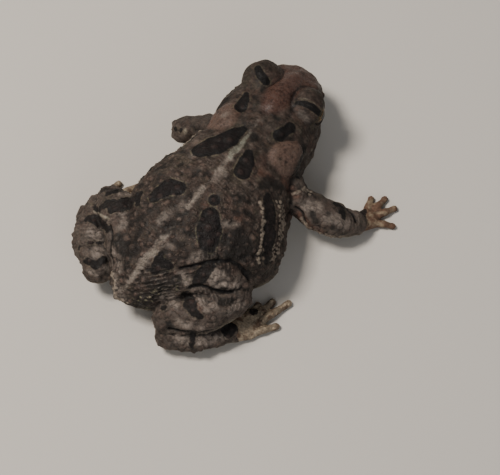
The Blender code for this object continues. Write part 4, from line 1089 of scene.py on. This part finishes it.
# %% Helpers for node graphs
class Graph:
    """A material's nodes, added one call at a time."""

    def __init__(self, name):
        self.material = bpy.data.materials.new(name)
        self.material.use_nodes = True
        self.nodes = self.material.node_tree.nodes
        self.links = self.material.node_tree.links
        self.shader = self.nodes["Principled BSDF"]
        self.object_place = self.nodes.new("ShaderNodeTexCoord").outputs["Object"]
        self.place = self.in_mm((1, 1, 1))
        self.color = None

    def in_mm(self, stretch):
        """The place in millimetres, each axis times its own factor."""
        made = self.nodes.new("ShaderNodeMapping")
        made.inputs["Scale"].default_value = tuple(1000 * factor for factor in stretch)
        self.links.new(self.object_place, made.inputs["Vector"])
        return made.outputs["Vector"]

    def plug(self, value, socket):
        if isinstance(value, (int, float, tuple)):
            socket.default_value = value
        else:
            self.links.new(value, socket)

    def math(self, operation, a, b=0.0, c=None):
        made = self.nodes.new("ShaderNodeMath")
        made.operation = operation
        for socket, value in zip(made.inputs, (a, b) if c is None else (a, b, c)):
            self.plug(value, socket)
        return made.outputs[0]

    def measure(self, name):
        made = self.nodes.new("ShaderNodeAttribute")
        made.attribute_name = name
        return made.outputs["Fac"]

    def noise(self, per_mm, detail=3.0, roughness=0.55, stretch=None):
        made = self.nodes.new("ShaderNodeTexNoise")
        self.plug(self.in_mm(stretch) if stretch else self.place, made.inputs["Vector"])
        made.inputs["Scale"].default_value = per_mm
        made.inputs["Detail"].default_value = detail
        made.inputs["Roughness"].default_value = roughness
        return made.outputs["Fac"]

    def cells(self, per_mm, stretch=None):
        """Distance to the nearest of scattered seeds, so many to the millimetre."""
        made = self.nodes.new("ShaderNodeTexVoronoi")
        self.plug(self.in_mm(stretch) if stretch else self.place, made.inputs["Vector"])
        made.inputs["Scale"].default_value = per_mm
        return made.outputs["Distance"]

    def between(self, value, low, high, start=0.0, end=1.0):
        """start below low, end above high, smooth between."""
        made = self.nodes.new("ShaderNodeMapRange")
        made.interpolation_type = "SMOOTHSTEP"
        for socket, number in zip(("Value", "From Min", "From Max", "To Min", "To Max"),
                                  (value, low, high, start, end)):
            self.plug(number, made.inputs[socket])
        return made.outputs["Result"]

    def product(self, *values):
        total = values[0]
        for value in values[1:]:
            total = self.math("MULTIPLY", total, value)
        return total

    def coat(self, share, color, blend="MIX"):
        """One more coat over what is painted so far, as thick as its share."""
        self.color = self.mix(share, self.color, color, blend)

    def mix(self, share, a, b, blend="MIX"):
        made = self.nodes.new("ShaderNodeMix")
        made.data_type = "RGBA"
        made.blend_type = blend
        self.plug(share, made.inputs[0])
        self.plug(a if not isinstance(a, tuple) else (*a, 1.0), made.inputs[6])
        self.plug(b if not isinstance(b, tuple) else (*b, 1.0), made.inputs[7])
        return made.outputs[2]


# %% [markdown]
# ## Colours from the ground up
# The painting goes as a painter would: first the taupe ground with its clouding, then the reddish
# boss and glands and the pale underside, the granules with painted shade in the gaps between them,
# the hazy and the crisp pale marks, the dark spots with their lighter rims, and at last painted
# shade in every hollow. Each layer is one mix with its own mask.

# %% The ground, the glands and the granules
TAUPE_DARK, TAUPE, TAUPE_LIGHT = (0.0195, 0.0145, 0.0117), (0.052, 0.039, 0.031), (0.106, 0.082, 0.067)
OLIVE, ROSY, ROSE_BROWN = (0.052, 0.047, 0.030), (0.100, 0.058, 0.044), (0.098, 0.046, 0.031)
BOSS_RED, GLAND_RED, PORE = (0.074, 0.038, 0.029), (0.142, 0.086, 0.065), (0.020, 0.010, 0.008)
BELLY_PALE, TOE_BROWN, TOE_PALE = (0.340, 0.295, 0.215), (0.150, 0.095, 0.062), (0.360, 0.280, 0.195)
FINGER_BROWN, FINGER_PALE = (0.120, 0.066, 0.042), (0.235, 0.175, 0.115)
GRANULE_PINK, WART_BROWN, GAP_DARK = (0.165, 0.122, 0.101), (0.108, 0.072, 0.057), (0.0105, 0.0085, 0.0072)
NEAR_BLACK, SPOT_BROWN = (0.0048, 0.0038, 0.0037), (0.0115, 0.0072, 0.0068)
SPOT_WART = (0.027, 0.0165, 0.0140)
RIM_PALE, PALE_CREAM, HAZE_GREY = (0.125, 0.113, 0.068), (0.275, 0.236, 0.180), (0.180, 0.147, 0.124)
LIGHT_PINK, STRIPE_GREEN, SCALE_YELLOW = (0.195, 0.157, 0.132), (0.212, 0.202, 0.158), (0.165, 0.145, 0.092)
LIMB_GREY, BEAD_PALE = (0.092, 0.073, 0.061), (0.225, 0.182, 0.140)

g = Graph("warty_skin")
cloud, mottle, speck = g.noise(0.22, 4), g.noise(0.8, 5, 0.65), g.noise(2.4, 4, 0.65)
ragged = g.math("MULTIPLY_ADD", g.noise(0.9, 4, 0.6), 1.6, -0.8)
fine_ragged = g.math("MULTIPLY_ADD", g.noise(2.8, 3), 0.7, -0.35)
edge = g.math("ADD", ragged, fine_ragged)
rear_measure, granule, wart = g.measure("rear"), g.measure("granule"), g.measure("wart")

wrinkle = g.noise(1.0, 5, 0.66, (0.5, 1.5, 1.0))
g.color = TAUPE_DARK
g.coat(g.between(mottle, 0.36, 0.52), TAUPE)
g.coat(g.between(mottle, 0.52, 0.66), TAUPE_LIGHT)
g.coat(g.between(cloud, 0.48, 0.66, 0, 0.5), ROSY)
g.coat(g.between(g.noise(0.35, 3), 0.50, 0.64, 0, 0.5), OLIVE)
g.coat(g.product(g.measure("limb"), g.between(mottle, 0.35, 0.6, 0.35, 0.75)), LIMB_GREY)
streaks = g.noise(0.34, 3, 0.5, (0.6, 1.6, 1.0))
g.coat(g.between(streaks, 0.36, 0.50, 0.55, 0.0), TAUPE_DARK)
g.coat(g.between(streaks, 0.56, 0.68, 0.0, 0.40), TAUPE_LIGHT)
# painted shade in the furrows of the wrinkle relief and painted light on its ridges
g.coat(g.between(wrinkle, 0.55, 0.66, 0.0, 0.70), GAP_DARK)
g.coat(g.between(wrinkle, 0.34, 0.44, 0.45, 0.0), TAUPE_LIGHT)
g.coat(g.product(rear_measure, g.between(g.noise(0.5, 4, 0.6), 0.40, 0.62, 0.6, 0.0)), TAUPE_DARK)
gland = g.between(g.math("MULTIPLY_ADD", ragged, 0.65, g.measure("gland")), -0.20, 0.80)
g.coat(g.product(gland, g.between(mottle, 0.25, 0.7, 0.9, 0.65)), GLAND_RED)
g.coat(g.product(g.measure("boss"), g.between(mottle, 0.25, 0.75, 0.97, 0.75)), BOSS_RED)
blots = g.between(g.noise(0.9, 5, 0.75), 0.50, 0.64, 0.0, 0.80)
g.coat(g.product(blots, g.math("MAXIMUM", g.measure("boss"), g.measure("gland"))), PORE)
pores = g.between(g.cells(0.95), 0.17, 0.28, 0.9, 0.0)
g.coat(g.product(pores, g.measure("gland")), PORE)
flecks = g.between(g.noise(0.6, 3, 0.5), 0.56, 0.64, 0.9, 0.12)
g.coat(g.product(g.math("MAXIMUM", g.measure("under"), g.product(g.measure("low"), 0.55)),
                 flecks), BELLY_PALE)
g.coat(g.product(g.between(g.measure("mouth_mm"), 0.35, 1.7, 0.50, 0.0),
                 g.between(g.noise(0.6, 2), 0.4, 0.55)), HAZE_GREY)
patches = g.noise(0.7, 3)
fingers = g.mix(g.between(patches, 0.45, 0.65), FINGER_BROWN, FINGER_PALE)
toes = g.mix(g.between(patches, 0.36, 0.54), TOE_BROWN, TOE_PALE)
fingers = g.mix(g.measure("toe"), fingers, toes)
digit = g.between(g.math("MULTIPLY_ADD", edge, 0.45, g.measure("digit")), 0.25, 0.85)
g.coat(g.product(digit, 0.9), fingers)

sand = g.between(g.cells(1.55), 0.12, 0.46, 1.0, 0.0)
rough_measure = g.math("MULTIPLY_ADD", rear_measure, 0.62, 0.16)
# painted shade in the low gaps of the sand relief between the granules
g.coat(g.product(g.between(sand, 0.0, 0.30, 1.0, 0.0), rough_measure, 0.55), GAP_DARK)
g.coat(g.product(g.between(granule, 0.30, 0.75), rough_measure, g.between(speck, 0.3, 0.6),
                 0.55), GRANULE_PINK)
chosen = g.between(g.noise(0.55, 2), 0.42, 0.58, 0.15, 1.0)
g.coat(g.product(g.between(wart, 0.15, 0.9), chosen,
                 g.math("MULTIPLY_ADD", rear_measure, 0.50, 0.25)), WART_BROWN)
area = g.product(g.measure("scale"), g.between(g.math("ADD", mottle, fine_ragged), 0.2, 0.5, 0.6, 1.0))
g.coat(g.product(area, 0.75), GAP_DARK)
g.coat(g.product(area, g.between(g.cells(1.1, (0.7, 1.3, 1.3)), 0.22, 0.46, 0.85, 0.0)), SCALE_YELLOW)

# %% Pale marks
haze_gap = g.math("ADD", g.measure("haze_mm"), g.product(edge, 1.0))
g.coat(g.product(g.between(haze_gap, -0.5, 0.7, 0.65, 0.0),
                 g.between(mottle, 0.3, 0.6, 0.40, 1.0)), HAZE_GREY)
rose_gap = g.math("ADD", g.measure("rose_mm"), g.product(edge, 0.8))
g.coat(g.product(g.between(rose_gap, -0.5, 0.7, 0.70, 0.0),
                 g.between(mottle, 0.3, 0.6, 0.5, 1.0)), ROSE_BROWN)
light_gap = g.math("ADD", g.measure("light_mm"), g.product(edge, 0.8))
g.coat(g.product(g.between(light_gap, -0.70, 0.60, 0.90, 0.0),
                 g.between(wrinkle, 0.44, 0.60, 1.0, 0.45)), LIGHT_PINK)
stripe_gap = g.math("ADD", g.measure("stripe_mm"), g.math("MULTIPLY_ADD", edge, 0.9, 0.22))
broken = g.between(g.noise(0.42, 3, 0.5), 0.38, 0.56, 0.30, 0.90)
g.coat(g.product(g.between(stripe_gap, -0.3, 0.40, 1.0, 0.0), broken), HAZE_GREY)
g.coat(g.product(g.between(stripe_gap, -0.6, 0.0, 0.55, 0.0), broken,
                 g.between(sand, 0.1, 0.5, 0.4, 1.0)), PALE_CREAM)
crisp_gap = g.math("ADD", g.measure("crisp_mm"), g.product(edge, 0.30))
g.coat(g.product(g.between(crisp_gap, -0.25, 0.22, 0.85, 0.0),
                 g.between(mottle, 0.38, 0.55, 0.65, 1.0)), STRIPE_GREEN)
pale_gap = g.math("ADD", g.measure("pale_mm"), g.product(edge, 0.3))
g.coat(g.between(pale_gap, -0.15, 0.30, 0.80, 0.0), PALE_CREAM)

# %% Dark marks
# dark blotches of the skin, and painted shade where the thighs meet the back and the shank
blotch_and_shade_gap = g.math("ADD", g.measure("blotch_and_shade_mm"), g.product(edge, 0.65))
blotch_and_shade_share = g.product(g.between(wart, 0.2, 0.7, 0.85, 0.45), g.between(blotch_and_shade_gap, -0.40, 0.35, 1.0, 0.0))
g.coat(blotch_and_shade_share, GAP_DARK)
bar_gap = g.math("ADD", g.measure("bar_mm"), g.product(edge, 0.60))
spot_gap = g.math("ADD", g.measure("spot_mm"), g.product(edge, 0.28))
for gap, strength, rim in ((bar_gap, 0.93, 0.25), (spot_gap, 0.98, 0.50)):
    band = g.product(g.between(gap, 0.02, 0.18), g.between(gap, 0.20, 0.45, 1.0, 0.0))
    g.coat(g.product(band, g.between(g.noise(0.9, 2), 0.44, 0.58, 0.0, 1.0), rim), RIM_PALE)
    inner = g.product(g.between(gap, -1.1, -0.3, 0.9, 0.0), g.between(mottle, 0.35, 0.6, 0.35, 1.0))
    dark = g.mix(inner, NEAR_BLACK, SPOT_BROWN)
    dark = g.mix(g.product(g.between(wart, 0.2, 0.8), 0.75), dark, SPOT_WART)
    g.coat(g.between(gap, -0.10, 0.14, strength, 0.0), dark)
# painted shade round the foot of each wart, bead and pad
g.coat(g.between(g.measure("ring"), 0.35, 0.9, 0.0, 0.50), GAP_DARK)
g.coat(g.product(g.between(g.measure("bead"), 0.08, 0.50, 0.0, 0.85),
                 g.between(mottle, 0.34, 0.58, 0.45, 1.0)), BEAD_PALE)

# %% Pleats, hollows and the openings of the head
lines = g.math("SINE", g.math("MULTIPLY_ADD", g.measure("phase"), 8.0, g.product(edge, 3.0)))
pleated = g.product(g.measure("pleat"), g.between(g.noise(0.6, 2), 0.40, 0.58, 0.15, 1.0),
                    g.between(bar_gap, -0.1, 0.2, 0.2, 1.0))
# painted shade in the furrows of the pleats and painted light on their crests
g.coat(g.product(g.between(lines, -0.2, 0.9, 0.0, 0.62), pleated), GAP_DARK)
g.coat(g.product(g.between(lines, -0.9, -0.5, 0.45, 0.0), pleated), HAZE_GREY)
# painted shade: darker in every hollow of the skin
g.coat(g.between(g.measure("hollow"), 0.05, 0.8, 0.0, 0.68), GAP_DARK)
# painted shade along the grooves of the creases
g.coat(g.between(g.math("ADD", g.measure("crease_mm"), g.product(fine_ragged, 0.6)), 0.0, 0.30,
                 0.92, 0.0), NEAR_BLACK)
# painted shade in the groove of the mouth
g.coat(g.between(g.measure("mouth_mm"), 0.10, 0.30, 0.85, 0.0), NEAR_BLACK)
# painted shade inside the nostril pits
g.coat(g.between(g.measure("pit"), 0.4, 0.8, 0.0, 0.95), NEAR_BLACK)
g.coat(g.between(g.measure("drum_mm"), 0.85, 1.10, 0.55, 0.0), ROSY)
# painted shade: a dark ring on the raised rim of the ear drum
drum_ring = g.product(g.between(g.measure("drum_mm"), 1.00, 1.15),
                      g.between(g.measure("drum_mm"), 1.20, 1.45, 1.0, 0.0))
g.coat(g.product(drum_ring, 0.5), GAP_DARK)
lid_edge = g.product(g.between(g.measure("rim"), 1.10, 1.20),
                     g.between(g.measure("rim"), 1.26, 1.50, 1.0, 0.0))
g.coat(g.product(lid_edge, 0.35), RIM_PALE)
# painted shade in the fold where each lid rises from the head
g.coat(g.product(g.between(g.measure("lid_fold"), 0.2, 1.0, 0.0, 0.55),
                 g.between(g.noise(0.3, 2), 0.42, 0.56, 0.1, 1.0)), NEAR_BLACK)
# painted shade in the seam where the lid's edge tucks in against the eye
g.coat(g.between(g.measure("rim"), 0.98, 1.10, 0.75, 0.0), NEAR_BLACK)
g.coat(1.0, g.between(speck, 0.3, 0.7, 0.70, 1.22), "MULTIPLY")
g.coat(1.0, g.math("MULTIPLY_ADD", g.measure("head"), -0.34, 1.0), "MULTIPLY")
g.plug(g.color, g.shader.inputs["Base Color"])

# %% Gloss and fine relief
dry = g.between(g.noise(1.6, 3, 0.6), 0.34, 0.60, 0.54, 0.82)
shiny = g.math("MAXIMUM", g.measure("boss"), g.product(g.measure("gland"), 0.7))
g.plug(g.math("MULTIPLY_ADD", shiny, -0.38, dry), g.shader.inputs["Roughness"])
g.shader.inputs["Specular IOR Level"].default_value = 0.22
g.shader.inputs["Subsurface Weight"].default_value = 0.03
g.shader.inputs["Subsurface Radius"].default_value = (1.0, 0.45, 0.25)
g.shader.inputs["Subsurface Scale"].default_value = 0.0006
bump = g.nodes.new("ShaderNodeBump")
bump.inputs["Strength"].default_value = 0.85
bump.inputs["Distance"].default_value = 0.00016
relief = g.math("ADD", g.product(sand, rough_measure), g.product(g.noise(6.0, 3), 0.45))
relief = g.math("ADD", relief, g.product(wrinkle, -1.1))
relief = g.math("ADD", relief, g.product(lines, pleated, -0.35))
g.plug(relief, bump.inputs["Height"])
g.plug(bump.outputs["Normal"], g.shader.inputs["Normal"])
toad.data.materials.append(g.material)
print("skin material with", len(g.nodes), "nodes")

# %% [markdown]
# ## Eyes
# A toad's eye is a wet ball with a golden iris, netted with black, and a pupil that lies like a
# flat bean. The ball is a grid of latitude and longitude with its pole on the gaze, and swells a
# little at the pole as a cornea does. Where each point lies across the iris is stored with it, so
# the pupil stays level whichever way the eye looks.

# %% Make the eyes
CORNEA_RISE = 0.22


def eyeball(side, rings=64, sides=72):
    """Ball: radius + rise * bell(latitude) out from the centre; latitude runs from the gaze."""
    out, ahead, above = gaze_frame(side)
    latitude = np.linspace(0, math.pi, rings + 2)[1:-1, None]
    turn = np.linspace(0, 2 * math.pi, sides, endpoint=False)[None, :]
    reach = (EYE_RADIUS + CORNEA_RISE * bell(latitude, 0.75))[..., None]
    level = np.sin(latitude) * np.cos(turn)
    rise = np.sin(latitude) * np.sin(turn)
    depth = np.cos(latitude) * np.ones_like(turn)
    way = depth[..., None] * out + level[..., None] * ahead + rise[..., None] * above
    points, faces = closed(way * reach + eye_centre(side))
    away = unit(points - eye_centre(side))
    return points, faces, away @ ahead * EYE_RADIUS, away @ above * EYE_RADIUS


eyes = {}
for side, word in ((1, "left"), (-1, "right")):
    points, faces, fore, high = eyeball(side)
    eyes[word] = finished(f"eyeball_{word}", points, faces, dict(fore=fore, high=high))
print("eyes", [len(eye.data.polygons) for eye in eyes.values()], "faces")

# %% The eye's material
IRIS_GOLD, IRIS_DARK, PUPIL = (0.230, 0.130, 0.040), (0.016, 0.010, 0.006), (0.002, 0.002, 0.002)
e = Graph("wet_eye")
fore, high = e.measure("fore"), e.measure("high")
pupil_gap = e.math("SQRT", e.math("ADD", e.math("POWER", e.math("DIVIDE", fore, 1.15), 2.0),
                                  e.math("POWER", e.math("DIVIDE", high, 0.68), 2.0)))
iris_gap = e.math("SQRT", e.math("ADD", e.math("POWER", fore, 2.0), e.math("POWER", high, 2.0)))
veins = e.between(e.math("ADD", e.noise(3.2, 4, 0.7), e.product(e.cells(3.5), 0.35)), 0.42, 0.74)
e.color = IRIS_GOLD
e.coat(veins, IRIS_DARK)
e.coat(e.between(pupil_gap, 1.02, 1.22, 0.75, 0.0), IRIS_GOLD)
e.coat(e.between(pupil_gap, 0.94, 1.0, 1.0, 0.0), PUPIL)
e.coat(e.between(iris_gap, 2.0, 2.4), IRIS_DARK)
e.plug(e.color, e.shader.inputs["Base Color"])
e.shader.inputs["Roughness"].default_value = 0.28
e.shader.inputs["Specular IOR Level"].default_value = 0.08
e.shader.inputs["Coat Weight"].default_value = 0.20
e.shader.inputs["Coat Roughness"].default_value = 0.03
for eye in eyes.values():
    eye.data.materials.append(e.material)
print("eye material with", len(e.nodes), "nodes")

# %% [markdown]
# ## Ride and replace
# The new skin and eyes stand for the solid pieces, which are then hidden and go on serving for
# weight and contact. All of them ride on the one body that a still model has.

# %% Put the pieces on the frame
FLESH = [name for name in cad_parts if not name.startswith("eye_")]
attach(toad, "root")
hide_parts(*FLESH)
for word, eye in eyes.items():
    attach(eye, "root")
    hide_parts(f"eye_{word}")
print("the skin stands for", len(FLESH), "solids")

# %% [markdown]
# ## Floor, light and camera
# The stage is plain: a pale floor, one soft lamp high on the toad's left, a weaker one from the
# other side and an even sky, so that the warts are modelled by light and the colours stay true.
# The camera looks down steeply from behind the right shoulder.

# %% Floor and light
from mathutils import Vector

bpy.ops.mesh.primitive_plane_add(size=3.0, location=(0, 0, 0))
floor = bpy.context.active_object
floor.name = "floor"
f = Graph("pale_floor")
f.shader.inputs["Base Color"].default_value = (0.56, 0.52, 0.47, 1)
f.shader.inputs["Roughness"].default_value = 0.85
floor.data.materials.append(f.material)
floor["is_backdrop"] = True


def area_light(name, place, size, watts, color):
    """A square lamp that faces the toad."""
    data = bpy.data.lights.new(name, "AREA")
    data.size, data.energy, data.color = size, watts, color
    made = bpy.data.objects.new(name, data)
    bpy.context.scene.collection.objects.link(made)
    made.location = place
    made.rotation_mode = "QUATERNION"
    made.rotation_quaternion = Vector([-c for c in place]).to_track_quat("-Z", "Y")
    return made


area_light("key", (0.20, 0.11, 0.46), 0.13, 3.1, (1.0, 0.95, 0.88))
area_light("fill", (-0.42, 0.30, 0.30), 0.40, 0.7, (0.90, 0.95, 1.0))
world = bpy.data.worlds.new("sky")
world.use_nodes = True
world.node_tree.nodes["Background"].inputs["Color"].default_value = (0.80, 0.82, 0.85, 1)
world.node_tree.nodes["Background"].inputs["Strength"].default_value = 0.26
bpy.context.scene.world = world

# %% Camera
SENSOR = 36.0

camera_data = bpy.data.cameras.new("camera")
camera_data.sensor_width = SENSOR
camera_data.lens = PIXELS_PER_MM * DISTANCE * SENSOR / IMAGE_WIDE
camera_data.shift_x = (IMAGE_WIDE / 2 - CENTRE_X) / IMAGE_WIDE
camera_data.shift_y = (CENTRE_Y - IMAGE_TALL / 2) / IMAGE_WIDE
camera_data.clip_start, camera_data.clip_end = 0.01, 10
camera = bpy.data.objects.new("camera", camera_data)
bpy.context.scene.collection.objects.link(camera)
camera.location = back * DISTANCE * MM
camera.rotation_mode = "QUATERNION"
camera.rotation_quaternion = Vector(-back).to_track_quat("-Z", "Y")
bpy.context.scene.camera = camera
print("camera lens", round(camera_data.lens, 1), "mm")

# %% Keep the sizes and finish
sizes = {"cad": [list(corner) for corner in cad_box], "visual": [list(corner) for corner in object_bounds()]}
print("boxes in mm", {key: np.round(np.array(value) * 1000, 1).tolist() for key, value in sizes.items()})
